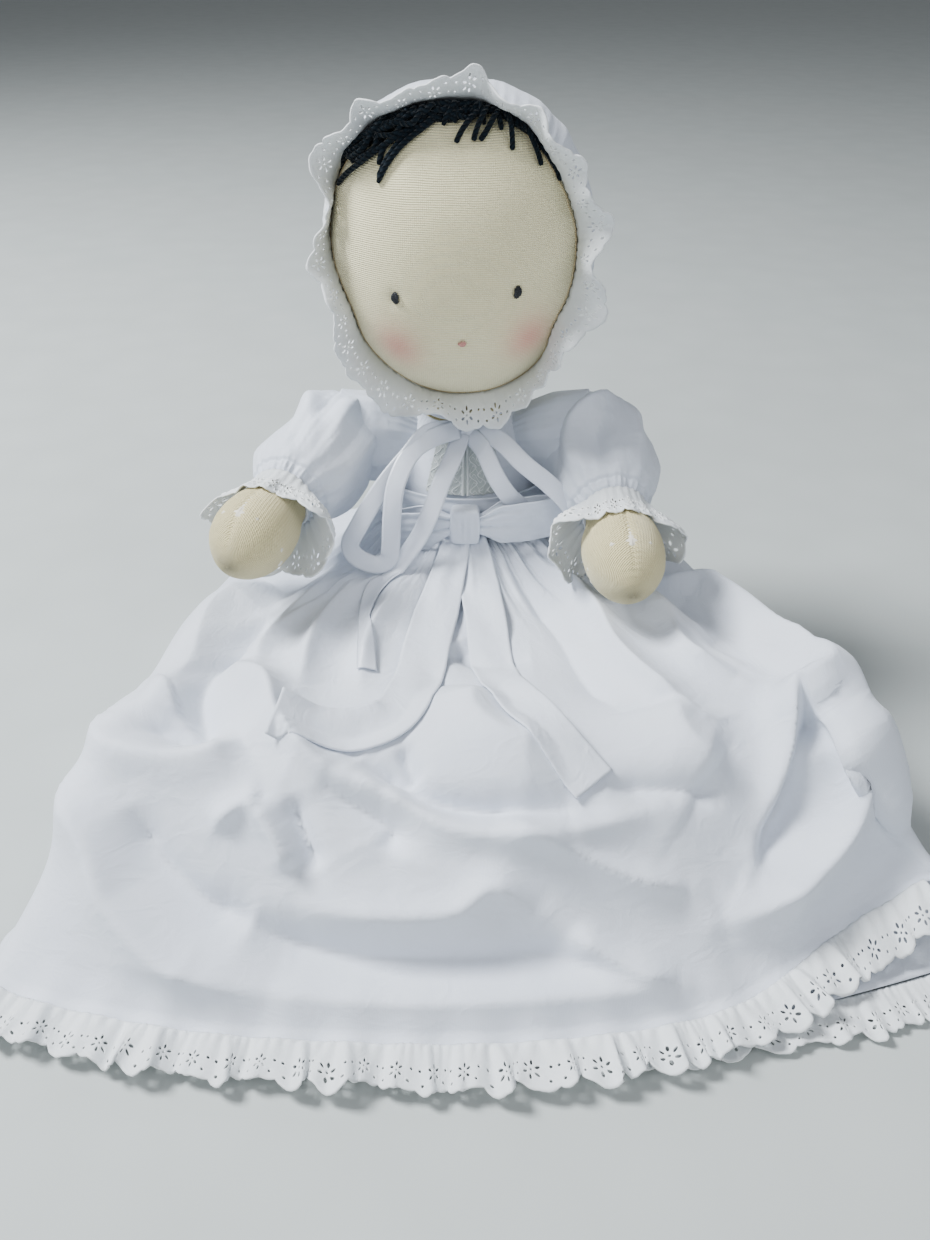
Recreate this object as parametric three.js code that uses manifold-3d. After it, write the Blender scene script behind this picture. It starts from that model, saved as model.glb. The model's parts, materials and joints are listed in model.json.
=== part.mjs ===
// A weighted soft baby doll, sitting, in a long white gown and an eyelet bonnet.
// Millimetres, +Z up. The doll faces -Y, and the origin is on the floor under the middle of its seat.
// "right" and "left" are the doll's own sides: its right is towards -X.
import * as THREE from "three";
import { mergeVertices } from "three/addons/utils/BufferGeometryUtils.js";
import Module from "manifold-3d";

const wasm = await Module();
wasm.setup();

// Cloth, gaps and the facets of round pieces
const clothThickness = 1.6;
const skinThickness = 2;
const eyeletThickness = 1;
const ribbonThickness = 0.8;
const seamGap = 0.4;
const cutOverrun = 5;
const roundSides = 12;
const headSides = 20;
const headRows = 11;
const cordSides = 5;
const knotRows = 8;
const stitchSides = 8;
const stitchRows = 6;
const sidesPerWave = 4;
const ruffleRows = 2;

// A small share of a surface, over which its slope is taken
const slopeShare = 1e-3;

const stuffingInset = skinThickness + seamGap;

// Torso, from the seat to the neck, leaning back a little
const torsoFloor = clothThickness + seamGap;
const torsoHeight = 172;
const torsoTop = torsoFloor + torsoHeight;
const seatHalfWidth = 56;
const seatHalfDepth = 46;
const torsoLeanAngle = THREE.MathUtils.degToRad(7);
const torsoHeightShares = [0, 0.05, 0.1, 0.17, 0.32, 0.5, 0.66, 0.8, 0.89, 0.94, 0.97, 1];
const torsoWidthShares = [0.6, 0.84, 0.93, 0.99, 1, 0.9, 0.76, 0.66, 0.58, 0.45, 0.25, 0.25];
const bagTopShare = 0.4;
const bagDomeWidthShares = [0.94, 0.82, 0.62, 0.4];
const bagDomeRise = 4;
const bagNeckRadius = 9;
const bagNeckHeight = 10;
const bagNeckWaist = 7;
const bagWallThickness = 1.2;
const bagTieRadius = 1.4;

// Neck: a tied column with the ball of the inner head on it
const neckBallRadius = 18;
const neckColumnRadius = 10.5;
const neckRise = 25;
const neckBallHeight = torsoTop + neckRise;
const neckFootDepth = 7;
const neckFoot = torsoTop - neckFootDepth;
const neckSwingAngle = THREE.MathUtils.degToRad(26);
const neckCordRadius = 1.8;

// Head, from chin to crown
const headWidth = 138;
const headDepth = 128;
const headHeight = 156;
const chinDrop = 17.8;
const headRise = headHeight / 2 - chinDrop;
const headForward = 2;
const headRollAngle = THREE.MathUtils.degToRad(2.6);
const headPower = 2.25;
const jawTaperShare = 0.16;
const neckOpeningEase = 3;

// Face stitches
const eyeWidth = 3.6;
const eyeHeight = 5.4;
const stitchThickness = 1.2;
const eyeSpacing = 67;
const eyeDrop = 10;
const mouthWidth = 4.4;
const mouthHeight = 3.2;
const mouthDrop = 37;

// Hair: a tuft of yarn in front of the bonnet
const hairThickness = 5;
const hairRootAngle = THREE.MathUtils.degToRad(69);
const hairSpanAngle = THREE.MathUtils.degToRad(116);
const hairTurnAngle = THREE.MathUtils.degToRad(-8);
const hairLengthAngle = THREE.MathUtils.degToRad(19);
const hairLockAngle = THREE.MathUtils.degToRad(7);
const hairLockCount = 9;
const hairRows = 3;

// Bonnet
const bonnetClearance = 1.7;
const bonnetEdgeAngle = THREE.MathUtils.degToRad(76);
const bonnetCrownAngle = THREE.MathUtils.degToRad(146);
const bonnetOpenAngle = THREE.MathUtils.degToRad(138);
const bonnetRuffleWidth = 20;
const bonnetChinRuffleWidth = 16;
const bonnetRuffleWave = 4;
const bonnetRuffleWaves = 17;
const bonnetTopFlareAngle = THREE.MathUtils.degToRad(38);
const bonnetChinFlareAngle = THREE.MathUtils.degToRad(58);
const bonnetTieWidth = 10;
const bonnetTieEndAngle = THREE.MathUtils.degToRad(164);
const bonnetBandColumns = 24;
const bonnetBandRows = 5;
const bonnetCrownRows = 4;
const bonnetTieColumns = 2;
const bonnetTieRows = 5;

// Arms, each along -Y from its shoulder before it is turned out and down
const shoulderSpacing = 150;
const shoulderDrop = 19;
const shoulderHeight = torsoTop - shoulderDrop;
const shoulderBack = 8;
const armLength = 124;
const armRootRadius = 20;
const handRadius = 21.5;
const armStationShares = [0.14, 0.1, 0, -0.2, -0.42, -0.57, -0.66, -0.76, -0.86, -0.94, -0.985];
const armRadiusShares = [0.4, 0.76, 1, 0.92, 0.78, 0.7];
const handRadiusShares = [0.9, 1.07, 1.07, 0.8, 0.4];
const wristRadius = armRootRadius * armRadiusShares.at(-1);
const wristShare = -armStationShares[armRadiusShares.length - 1];
const shoulderBallRadius = 9;
const gussetRadius = 6;
const armSwingAngle = THREE.MathUtils.degToRad(26);
const armholeTilt = new THREE.Vector3(-0.93, 0.3, 0.2);
const armOutAngles = { right: THREE.MathUtils.degToRad(21), left: THREE.MathUtils.degToRad(5) };
const handHeightsOverLap = { right: 49.5, left: 35 };

// Sleeves and cuffs
const sleeveRadius = 26;
const sleeveLength = wristShare * armLength;
const sleeveStationShares = [0.3, 0.22, 0.1, 0, -0.18, -0.42, -0.66, -0.85, -0.95, -1];
const sleeveRadiusShares = [0.5, 0.78, 0.96, 1, 1.03, 1.05, 1.02, 0.9];
const cuffElasticRadius = 1.4;
const elasticRingRadius = wristRadius + 2 * seamGap + cuffElasticRadius;
const cuffRadius = elasticRingRadius + cuffElasticRadius + seamGap + clothThickness;
const cuffRadiusShares = [1.03, 1];
const cuffRuffleLength = 21;
const cuffRuffleRadius = 38;
const cuffRuffleWave = 3;
const cuffRuffleWaves = 9;

// Legs, each along -Y from its hip, with the foot turned up
const hipSpacing = 76;
const thighRadius = 30;
const legLength = 100;
const legStationShares = [0.28, 0.22, 0.12, 0, -0.35, -0.7, -0.86, -1, -1.1, -1.17];
const legWidthShares = [0.4, 0.7, 0.92, 1, 0.94, 0.76, 0.74, 0.74, 0.62, 0.3];
const legHeightShares = [0.4, 0.7, 0.92, 1, 0.94, 0.8, 1.02, 1.2, 1.06, 0.5];
const legRiseShares = [0, 0, 0, 0, -0.03, -0.1, 0.07, 0.2, 0.26, 0.3];
const legOutAngle = THREE.MathUtils.degToRad(7);
const legBagShare = 0.72;
const hipSeamGap = 12;
const hipForward = seatHalfDepth + hipSeamGap + legStationShares[0] * legLength;
const hipHeight = torsoFloor + seamGap + thighRadius;
const hipBallRadius = 11;
const hipPegRadius = 8;
const hipSwingAngle = THREE.MathUtils.degToRad(22);
const hipBarThickness = 8;
const hipBarHeight = 14;
const hipBarInset = 2;
const hipBarBack = hipBarInset - seatHalfDepth;

// Bodice and sash
const neckbandDrop = 7;
const bodiceHeight = 57;
const waistHeight = torsoTop - neckbandDrop - bodiceHeight;
const waistSideEase = 4;
const waistFrontEase = 6.8;
const bodiceWidthShares = [1, 0.93, 0.84, 0.77, 0.68, 0.52];
const bodiceDepthShares = [1, 0.98, 0.93, 0.85, 0.75, 0.59];
const bodiceSeamAngle = THREE.MathUtils.degToRad(92);
const armholeRadius = 8.5;
const bodiceOpeningAngle = THREE.MathUtils.degToRad(180);
const neckbandHeight = 3;
const bodiceFrontColumns = 16;
const bodiceBackColumns = 8;
const laceColumns = 6;
const laceRows = 5;
const laceTopAngle = THREE.MathUtils.degToRad(26);
const laceBottomAngle = THREE.MathUtils.degToRad(31);
const laceThickness = 0.8;
const buttonRadius = 4.5;
const buttonThickness = 2.4;
const buttonHeightShares = [0.46, 0.65, 0.84];
const sashWidth = 24;
const sashThickness = 1.8;
const sashDrop = 2;
const sashKnotWidth = 17;
const sashKnotHeight = 21;
const sashKnotDepth = 11;
const bowLoopDepth = 9;
const bowLoopLengths = { right: 37, left: 41 };
const bowLoopDroops = { right: 5, left: -4 };
const bowLoopSides = 16;
const sashTailWidth = 22;
const sashTailColumns = 4;
const sashTailRows = 13;
const tailStartShare = 0.07;
const rightTailEndShare = 0.6;
const leftTailEndShare = 0.72;
const rightTailTurnShare = -0.12;
const leftTailTurnShare = 0.035;

// Gown skirt. Seen from above, its edges are shares of the reach to each side and in front.
// It lies over the lap at one height, which clears the toes.
const toeLength = -Math.min(...legStationShares) * legLength;
const toeHeight = thighRadius * Math.max(...legHeightShares.map((share, i) => share + legRiseShares[i]));
const hemBeyondToes = 97;
const skirtReach = hipForward + toeLength + hemBeyondToes;
const lapClearance = 9.6;
const lapHeight = hipHeight + toeHeight + lapClearance;
const skirtTop = waistHeight - sashDrop - clothThickness - seamGap;
const lapFullness = 0.6;
const hemHeight = 2.6;
const hemLift = 26;
const hemLiftTurnShare = 0.72;
const hemLiftWidthShare = 0.09;
const hemLiftPower = 6;
const landingPower = 4;
const rightSideShares = [[-0.57, 0.06], [-0.61, -0.12], [-0.65, -0.35], [-0.68, -0.55], [-0.7, -0.74]];
const leftSideShares = [[0.77, -0.74], [0.71, -0.55], [0.66, -0.35], [0.61, -0.12], [0.57, 0.06]];
const frontHemShares = [[-0.71, -0.87], [-0.47, -0.945], [-0.2, -0.975], [0.1, -0.975], [0.38, -0.925]];
const liftedHemShares = [[0.58, -0.8], [0.72, -0.74]];
const backHemShares = [[-0.71, -0.85], [-0.42, -0.92], [0, -0.945], [0.45, -0.915], [0.82, -0.85]];
const seatBackShares = [
  [-0.57, 0.07], [-0.48, 0.18], [-0.28, 0.25], [0, 0.275], [0.28, 0.25], [0.48, 0.18], [0.57, 0.07],
];
const drapeStepShares = [0, 0.05, 0.12, 0.22, 0.36, 0.5, 0.62, 0.7, 0.76, 0.82, 0.88, 0.94, 1];
const waistRiseShares = [1, 0.83, 0.33, 0.08, 0.04, 0.04, 0, 0, 0, 0, 0, 0, 0];
const drapeHeightShares = [1, 1, 1, 1, 1, 1, 0.99, 0.93, 0.8, 0.58, 0.35, 0.15, 0];
const sideWaistRiseShares = [1, 0.8, 0.3, 0, 0, 0, 0, 0, 0, 0, 0, 0, 0];
const sideDrapeHeightShares = [1, 1, 1, 1, 0.95, 0.9, 0.84, 0.77, 0.68, 0.56, 0.4, 0.2, 0];
const skirtColumns = 32;
const skirtRows = 17;
// Main folds: each line is of [turn, share] places on the plain skirt.
const foldHeight = 13;
const foldHalfWidth = 30;
const foldFadePower = 16;
const foldLineSteps = 12;
const foldLineShares = {
  lapSwell: [[0.49, 0.42], [0.485, 0.55], [0.5, 0.63], [0.53, 0.66]],
  leftKnee: [[0.6, 0.58], [0.59, 0.68], [0.6, 0.75]],
  leftFold: [[0.87, 0.58], [0.8, 0.66], [0.69, 0.68], [0.645, 0.76], [0.6, 0.84]],
  leftOuterFold: [[0.79, 0.68], [0.72, 0.77], [0.66, 0.87], [0.61, 0.905], [0.57, 0.895]],
  rightHip: [[0.13, 0.42], [0.15, 0.58], [0.25, 0.6], [0.33, 0.68]],
  rightKnee: [[0.3, 0.46], [0.35, 0.52], [0.38, 0.6], [0.42, 0.69]],
  rightOuterFold: [[0.24, 0.75], [0.32, 0.8], [0.35, 0.87], [0.42, 0.95]],
  hemRoll: [[0.42, 0.93], [0.48, 0.945], [0.55, 0.95]],
};
const foldHeightShares = {
  lapSwell: 0.7, leftKnee: 0.4, leftFold: 0.85, leftOuterFold: 0.75, rightHip: 0.6, rightKnee: 0.6,
  rightOuterFold: 0.7, hemRoll: 0.4,
};
const foldWidthShares = {
  lapSwell: 1.15, leftKnee: 0.9, leftFold: 0.75, leftOuterFold: 0.75, rightHip: 0.9, rightKnee: 0.75,
  rightOuterFold: 0.75, hemRoll: 0.7,
};
const backWallColumns = 14;
const backWallRows = 9;
const hemRuffleWidth = 24;
const hemRuffleWave = 1.5;
const hemRuffleWaves = 16;
const layGap = 1.8;

// Bonnet ribbons, tied under the chin
const ribbonWidth = 10.5;
const ribbonKnotWidth = 13;
const ribbonKnotHeight = 9;
const ribbonKnotDepth = 6;
const ribbonKnotShare = 0.86;
const ribbonFall = 60;
const ribbonColumns = 2;
const ribbonRows = 9;
const rightLoopPathShares = [
  [-0.2, -0.08, 0], [-0.3, 0.02, 0.1], [-0.44, 0.14, 0.5], [-0.58, 0.3, 1.02], [-0.7, 0.6, 1.15],
];
const rightTailPathShares = [
  [-0.09, -0.014, 0.05], [-0.11, 0.14, 0.5], [-0.18, 0.32, 1.08], [-0.34, 0.66, 1.2], [-0.46, 0.84, 1.3],
];
const leftTailPathShares = [
  [0.09, -0.014, 0.05], [0.17, 0.14, 0.5], [0.27, 0.3, 1.08], [0.42, 0.6, 1.2], [0.52, 0.8, 1.3],
];
const leftLoopPathShares = [
  [0.2, -0.08, 0], [0.32, 0.02, 0.1], [0.46, 0.12, 0.5], [0.58, 0.25, 1.04], [0.7, 0.46, 1.15],
];

const up = new THREE.Vector3(0, 0, 1);
const forward = new THREE.Vector3(0, -1, 0);
const sideSign = { right: -1, left: 1 };

const finishes = {
  velour: new THREE.MeshStandardMaterial({ color: 0xe6ddbd, roughness: 0.95, metalness: 0 }),
  stuffing: new THREE.MeshStandardMaterial({ color: 0xf1ece0, roughness: 1, metalness: 0 }),
  muslin: new THREE.MeshStandardMaterial({ color: 0xe9e4d6, roughness: 0.9, metalness: 0 }),
  beads: new THREE.MeshStandardMaterial({ color: 0xcfd8d6, roughness: 0.3, metalness: 0 }),
  cotton: new THREE.MeshStandardMaterial({ color: 0xeef0f6, roughness: 0.85, metalness: 0 }),
  eyelet: new THREE.MeshStandardMaterial({ color: 0xf3f3ee, roughness: 0.85, metalness: 0 }),
  lace: new THREE.MeshStandardMaterial({ color: 0xf0f1ea, roughness: 0.9, metalness: 0 }),
  satin: new THREE.MeshStandardMaterial({ color: 0xe9edf6, roughness: 0.35, metalness: 0 }),
  yarn: new THREE.MeshStandardMaterial({ color: 0x10161d, roughness: 0.95, metalness: 0 }),
  blackThread: new THREE.MeshStandardMaterial({ color: 0x15171b, roughness: 0.6, metalness: 0 }),
  pinkThread: new THREE.MeshStandardMaterial({ color: 0xe3a59d, roughness: 0.7, metalness: 0 }),
  twine: new THREE.MeshStandardMaterial({ color: 0xd9d2bf, roughness: 0.8, metalness: 0 }),
  elastic: new THREE.MeshStandardMaterial({ color: 0xe4e8f4, roughness: 0.8, metalness: 0 }),
  button: new THREE.MeshStandardMaterial({ color: 0xf2f0ea, roughness: 0.3, metalness: 0 }),
};

const doll = new THREE.Group();

function place(name, geometry, finish, parent = doll) {
  const mesh = new THREE.Mesh(geometry, finish);
  mesh.name = name;
  parent.add(mesh);
  return mesh;
}

// A closed geometry from points and triangles, turned so that its faces point out.
function closedGeometry(points, triangles) {
  let volume = 0;
  for (const [a, b, c] of triangles) {
    volume += points[a].dot(points[b].clone().cross(points[c]));
  }
  const index = volume < 0 ? triangles.flatMap(([a, b, c]) => [a, c, b]) : triangles.flat();
  return new THREE.BufferGeometry().setFromPoints(points).setIndex(index);
}

// Rings of equally many points, skinned in order, with a flat fan over each end.
function loft(rings, joinedEnds = false) {
  const points = rings.flat();
  const sides = rings[0].length;
  const triangles = [];
  const spans = joinedEnds ? rings.length : rings.length - 1;
  for (let i = 0; i < spans; i++) {
    const next = (i + 1) % rings.length;
    for (let j = 0; j < sides; j++) {
      const k = (j + 1) % sides;
      const [a, b, c, d] = [i * sides + j, i * sides + k, next * sides + k, next * sides + j];
      triangles.push([a, b, c], [a, c, d]);
    }
  }
  if (!joinedEnds) {
    const last = (rings.length - 1) * sides;
    for (const [start, turned] of [[0, true], [last, false]]) {
      const middle = new THREE.Vector3();
      for (let j = 0; j < sides; j++) middle.add(points[start + j]);
      points.push(middle.divideScalar(sides));
      for (let j = 0; j < sides; j++) {
        const [a, b] = [start + j, start + ((j + 1) % sides)];
        triangles.push(turned ? [b, a, points.length - 1] : [a, b, points.length - 1]);
      }
    }
  }
  return closedGeometry(points, triangles);
}

// An ellipse of points round +Z.
function flatRing(centre, halfX, halfY, sides = roundSides) {
  return Array.from({ length: sides }, (_, i) => {
    const turn = (2 * Math.PI * i) / sides;
    return new THREE.Vector3(centre.x + halfX * Math.cos(turn), centre.y + halfY * Math.sin(turn), centre.z);
  });
}

// An ellipse of points round -Y.
function uprightRing(y, halfX, halfZ, z = 0, sides = roundSides) {
  return Array.from({ length: sides }, (_, i) => {
    const turn = (2 * Math.PI * i) / sides;
    return new THREE.Vector3(halfX * Math.cos(turn), y, z + halfZ * Math.sin(turn));
  });
}

// A cloth of even thickness on the outer side of surface(u, v), where u and v run from 0 to 1.
function slab(surface, uCount, vCount, thickness, wrapped = false) {
  const outerAt = (u, v) => {
    const here = surface(u, v);
    const alongU = surface(u + slopeShare, v).sub(surface(u - slopeShare, v));
    const alongV = surface(u, Math.min(v + slopeShare, 1)).sub(surface(u, Math.max(v - slopeShare, 0)));
    return here.addScaledVector(alongU.cross(alongV).normalize(), thickness);
  };
  const columns = wrapped ? uCount : uCount + 1;
  const rows = vCount + 1;
  const points = [];
  for (const at of [surface, outerAt]) {
    for (let i = 0; i < columns; i++) {
      for (let j = 0; j < rows; j++) points.push(at(i / uCount, j / vCount));
    }
  }
  const inner = (i, j) => (i % columns) * rows + j;
  const outer = (i, j) => columns * rows + inner(i, j);
  const triangles = [];
  const quad = (a, b, c, d) => triangles.push([a, b, c], [a, c, d]);
  for (let i = 0; i < uCount; i++) {
    for (let j = 0; j < vCount; j++) {
      quad(inner(i, j), inner(i, j + 1), inner(i + 1, j + 1), inner(i + 1, j));
      quad(outer(i, j), outer(i + 1, j), outer(i + 1, j + 1), outer(i, j + 1));
    }
    quad(inner(i, 0), inner(i + 1, 0), outer(i + 1, 0), outer(i, 0));
    quad(inner(i + 1, vCount), inner(i, vCount), outer(i, vCount), outer(i + 1, vCount));
  }
  if (!wrapped) {
    for (let j = 0; j < vCount; j++) {
      quad(inner(0, j + 1), inner(0, j), outer(0, j), outer(0, j + 1));
      quad(inner(uCount, j), inner(uCount, j + 1), outer(uCount, j + 1), outer(uCount, j));
    }
  }
  return closedGeometry(points, triangles);
}

function solidOf(geometry) {
  const bare = geometry.index ? geometry.toNonIndexed() : geometry.clone();
  const onlyPlaces = new THREE.BufferGeometry().setAttribute("position", bare.getAttribute("position"));
  const merged = mergeVertices(onlyPlaces);
  return new wasm.Manifold(new wasm.Mesh({
    numProp: 3,
    vertProperties: merged.attributes.position.array,
    triVerts: new Uint32Array(merged.index.array),
  }));
}

function geometryOf(solid) {
  const mesh = solid.getMesh();
  return new THREE.BufferGeometry()
    .setAttribute("position", new THREE.BufferAttribute(mesh.vertProperties, 3))
    .setIndex(new THREE.BufferAttribute(mesh.triVerts, 1));
}

function cut(geometry, ...tools) {
  return geometryOf(tools.reduce((rest, tool) => rest.subtract(solidOf(tool)), solidOf(geometry)));
}

function join(...geometries) {
  return geometryOf(geometries.map(solidOf).reduce((all, one) => all.add(one)));
}

function ball(centre, radius, sides = roundSides) {
  return new THREE.SphereGeometry(radius, sides, sides / 2).translate(centre.x, centre.y, centre.z);
}

function block(low, high) {
  const size = high.clone().sub(low);
  const middle = low.clone().add(high).divideScalar(2);
  return new THREE.BoxGeometry(size.x, size.y, size.z).translate(middle.x, middle.y, middle.z);
}

// A cord ring round +Z.
function cordRing(centre, halfX, halfY, radius, sides = roundSides) {
  const ring = (i) => {
    const turn = (2 * Math.PI * i) / sides;
    const out = new THREE.Vector3(Math.cos(turn), Math.sin(turn), 0);
    const middle = new THREE.Vector3(halfX * Math.cos(turn), halfY * Math.sin(turn), 0).add(centre);
    return Array.from({ length: cordSides }, (_, j) => {
      const roll = (2 * Math.PI * j) / cordSides;
      return middle.clone()
        .addScaledVector(out, radius * Math.cos(roll))
        .addScaledVector(up, radius * Math.sin(roll));
    });
  };
  return loft(Array.from({ length: sides }, (_, i) => ring(i)), true);
}

// A ribbon along a smooth line through the points, its width square to the line and to the front.
function ribbon(points) {
  const line = new THREE.CatmullRomCurve3(points);
  return slab((u, v) => {
    const along = line.getTangentAt(THREE.MathUtils.clamp(v, 0, 1));
    const across = along.clone().cross(forward).normalize();
    return line.getPointAt(THREE.MathUtils.clamp(v, 0, 1)).addScaledVector(across, (u - 1 / 2) * ribbonWidth);
  }, ribbonColumns, ribbonRows, ribbonThickness);
}

// The value of a table at a share between its steps.
function tableAt(steps, values, share) {
  const held = THREE.MathUtils.clamp(share, 0, 1);
  const above = Math.max(1, steps.findIndex((step) => step >= held));
  const span = (held - steps[above - 1]) / (steps[above] - steps[above - 1]);
  return THREE.MathUtils.lerp(values[above - 1], values[above], span);
}

// Torso
const torsoCentre = (z) => new THREE.Vector3(0, (z - torsoFloor) * Math.tan(torsoLeanAngle), z);
const torsoWidthShareAt = (z) => tableAt(torsoHeightShares, torsoWidthShares, (z - torsoFloor) / torsoHeight);
const neckCollarRadius = neckColumnRadius + skinThickness + 4 * seamGap;

function torsoRings(inset, fromShare = 0, toShare = 1) {
  const rings = [];
  torsoHeightShares.forEach((share, i) => {
    if (share < fromShare || share > toShare) return;
    const bottomLift = share === 0 ? inset : 0;
    const centre = torsoCentre(torsoFloor + torsoHeight * share + bottomLift);
    const width = Math.max(seatHalfWidth * torsoWidthShares[i], neckCollarRadius);
    const depth = Math.max(seatHalfDepth * torsoWidthShares[i], neckCollarRadius);
    rings.push(flatRing(centre, width - inset, depth - inset));
  });
  return rings;
}

function makeTorso() {
  const cavity = torsoRings(skinThickness);
  place("torso_skin", loft([...torsoRings(0), ...cavity.reverse()]), finishes.velour);

  const bagRings = torsoRings(stuffingInset, 0, bagTopShare);
  const bagTop = torsoFloor + torsoHeight * bagTopShare;
  const shoulderOf = (inset) => bagDomeWidthShares.map((share, i) => flatRing(
    torsoCentre(bagTop + bagDomeRise * (i + 1) - inset),
    (seatHalfWidth - stuffingInset) * share - inset,
    (seatHalfDepth - stuffingInset) * share - inset,
  ));
  const neckBase = bagTop + bagDomeRise * (bagDomeWidthShares.length + 1);
  const bagNeck = (inset) => [
    flatRing(torsoCentre(neckBase), bagNeckWaist - inset, bagNeckWaist - inset),
    flatRing(torsoCentre(neckBase + bagNeckHeight / 2), bagNeckWaist - inset, bagNeckWaist - inset),
    flatRing(torsoCentre(neckBase + bagNeckHeight), bagNeckRadius - inset, bagNeckRadius - inset),
  ];
  const bagOuter = [...bagRings, ...shoulderOf(0), ...bagNeck(0)];
  const bagInner = [
    ...torsoRings(stuffingInset + bagWallThickness, 0, bagTopShare),
    ...shoulderOf(bagWallThickness),
    ...bagNeck(bagWallThickness),
  ];
  place("weight_bag", loft([...bagOuter, ...bagInner.reverse()]), finishes.muslin);
  place("bead_fill", loft([
    ...torsoRings(stuffingInset + bagWallThickness + seamGap, 0, bagTopShare),
    ...shoulderOf(bagWallThickness + seamGap).slice(0, 2),
  ]), finishes.beads);
  place("weight_bag_tie", cordRing(
    torsoCentre(neckBase + bagNeckHeight / 4),
    bagNeckWaist + bagTieRadius + seamGap,
    bagNeckWaist + bagTieRadius + seamGap,
    bagTieRadius,
  ), finishes.twine);

  // The stuffing fills the torso above the bag, up to the foot of the neck.
  const stuffingBottom = neckBase + bagNeckHeight + seamGap;
  const whole = loft(torsoRings(stuffingInset));
  const slice = block(
    new THREE.Vector3(-seatHalfWidth, -seatHalfDepth, stuffingBottom),
    new THREE.Vector3(seatHalfWidth, seatHalfDepth + torsoHeight, neckFoot),
  );
  place("torso_stuffing", geometryOf(solidOf(whole).intersect(solidOf(slice))), finishes.stuffing);
}

// Neck and head frames: the head turns and nods about the centre of the neck ball.
const neckCentre = new THREE.Vector3(0, torsoCentre(torsoTop).y, neckBallHeight);
const head = new THREE.Group();
head.position.copy(neckCentre);
head.rotation.y = -headRollAngle;
doll.add(head);
const headCentre = new THREE.Vector3(0, -headForward, headRise);

// The point of the head's surface in a direction from its middle, moved out by offset.
function headPoint(direction, offset = 0) {
  const d = direction.clone().normalize();
  const jaw = 1 - jawTaperShare * Math.max(0, -d.z) ** 2;
  const sum = Math.abs(d.x / ((headWidth / 2) * jaw)) ** headPower
    + Math.abs(d.y / (headDepth / 2)) ** headPower
    + Math.abs(d.z / (headHeight / 2)) ** headPower;
  return d.multiplyScalar(sum ** (-1 / headPower) + offset).add(headCentre);
}

// A direction by its angle from the middle of the face and its clock angle from crown to left ear.
function faceDirection(angle, clock) {
  return new THREE.Vector3(
    Math.sin(angle) * Math.sin(clock), -Math.cos(angle), Math.sin(angle) * Math.cos(clock),
  );
}

function headRings(offset) {
  return Array.from({ length: headRows }, (_, i) => {
    const tilt = (Math.PI * (i + 1)) / (headRows + 1);
    return Array.from({ length: headSides }, (_, j) => {
      const turn = (2 * Math.PI * j) / headSides;
      return headPoint(new THREE.Vector3(
        Math.sin(tilt) * Math.cos(turn), Math.sin(tilt) * Math.sin(turn), Math.cos(tilt),
      ), offset);
    });
  });
}

function makeNeck() {
  const columnBottom = neckFoot + seamGap - neckBallHeight;
  const neck = new THREE.Group();
  neck.position.copy(neckCentre);
  doll.add(neck);
  const column = new THREE.CylinderGeometry(neckColumnRadius, neckColumnRadius, -columnBottom, roundSides)
    .rotateX(Math.PI / 2)
    .translate(0, 0, columnBottom / 2);
  const topBall = ball(new THREE.Vector3(), neckBallRadius, headSides);
  place("neck_column", join(topBall, column), finishes.stuffing, neck);
  const cordRadius = neckCollarRadius + seamGap + neckCordRadius;
  place("neck_tie_cord", cordRing(
    torsoCentre(torsoTop - neckCordRadius), cordRadius, cordRadius, neckCordRadius,
  ), finishes.twine);
}

function makeHead() {
  const socket = ball(new THREE.Vector3(), neckBallRadius + seamGap, headSides);
  const nodRoom = swingCone(up.clone().negate(), neckColumnRadius + seamGap, neckSwingAngle, headRise);
  const openingRadius = neckBallRadius + neckOpeningEase;
  const opening = new THREE.CylinderGeometry(openingRadius, openingRadius, headRise, roundSides)
    .rotateX(Math.PI / 2)
    .translate(0, 0, -headRise / 2);
  const outer = loft(headRings(0));
  const inner = loft(headRings(-skinThickness));
  const core = loft(headRings(-stuffingInset));
  place("head_skin", cut(outer, inner, opening), finishes.velour, head);
  place("head_core", cut(core, socket, nodRoom), finishes.stuffing, head);

  const stitch = (name, x, z, width, height, finish, stand = 0) => {
    const direction = new THREE.Vector3(x, -headDepth / 2, z);
    const spot = headPoint(direction, stand);
    const nudge = spot.clone().sub(headCentre).normalize();
    const lump = new THREE.SphereGeometry(1 / 2, stitchSides, stitchRows)
      .scale(width, stitchThickness, height);
    lump.applyQuaternion(new THREE.Quaternion().setFromUnitVectors(forward, nudge));
    place(name, lump.translate(spot.x, spot.y, spot.z), finish, head);
  };
  stitch("right_eye", -eyeSpacing / 2, -eyeDrop, eyeWidth, eyeHeight, finishes.blackThread);
  stitch("left_eye", eyeSpacing / 2, -eyeDrop, eyeWidth, eyeHeight, finishes.blackThread);
  stitch("mouth_stitch", 0, -mouthDrop, mouthWidth, mouthHeight, finishes.pinkThread, stitchThickness);
}

function makeHair() {
  const tuft = (u, v) => {
    const clock = hairTurnAngle + (u * 2 - 1) * (hairSpanAngle / 2);
    const lock = (1 + Math.cos(2 * Math.PI * hairLockCount * u)) / 2;
    const fullness = Math.sqrt(Math.max(0, 1 - (2 * u - 1) ** 4));
    const length = hairLengthAngle * fullness - hairLockAngle * lock * v;
    const angle = hairRootAngle - Math.max(length, hairLockAngle / 2) * v;
    return headPoint(faceDirection(angle, clock), seamGap);
  };
  const columns = sidesPerWave * hairLockCount;
  place("hair_tuft", slab((u, v) => tuft(1 - u, v), columns, hairRows, hairThickness), finishes.yarn, head);
}

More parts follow.
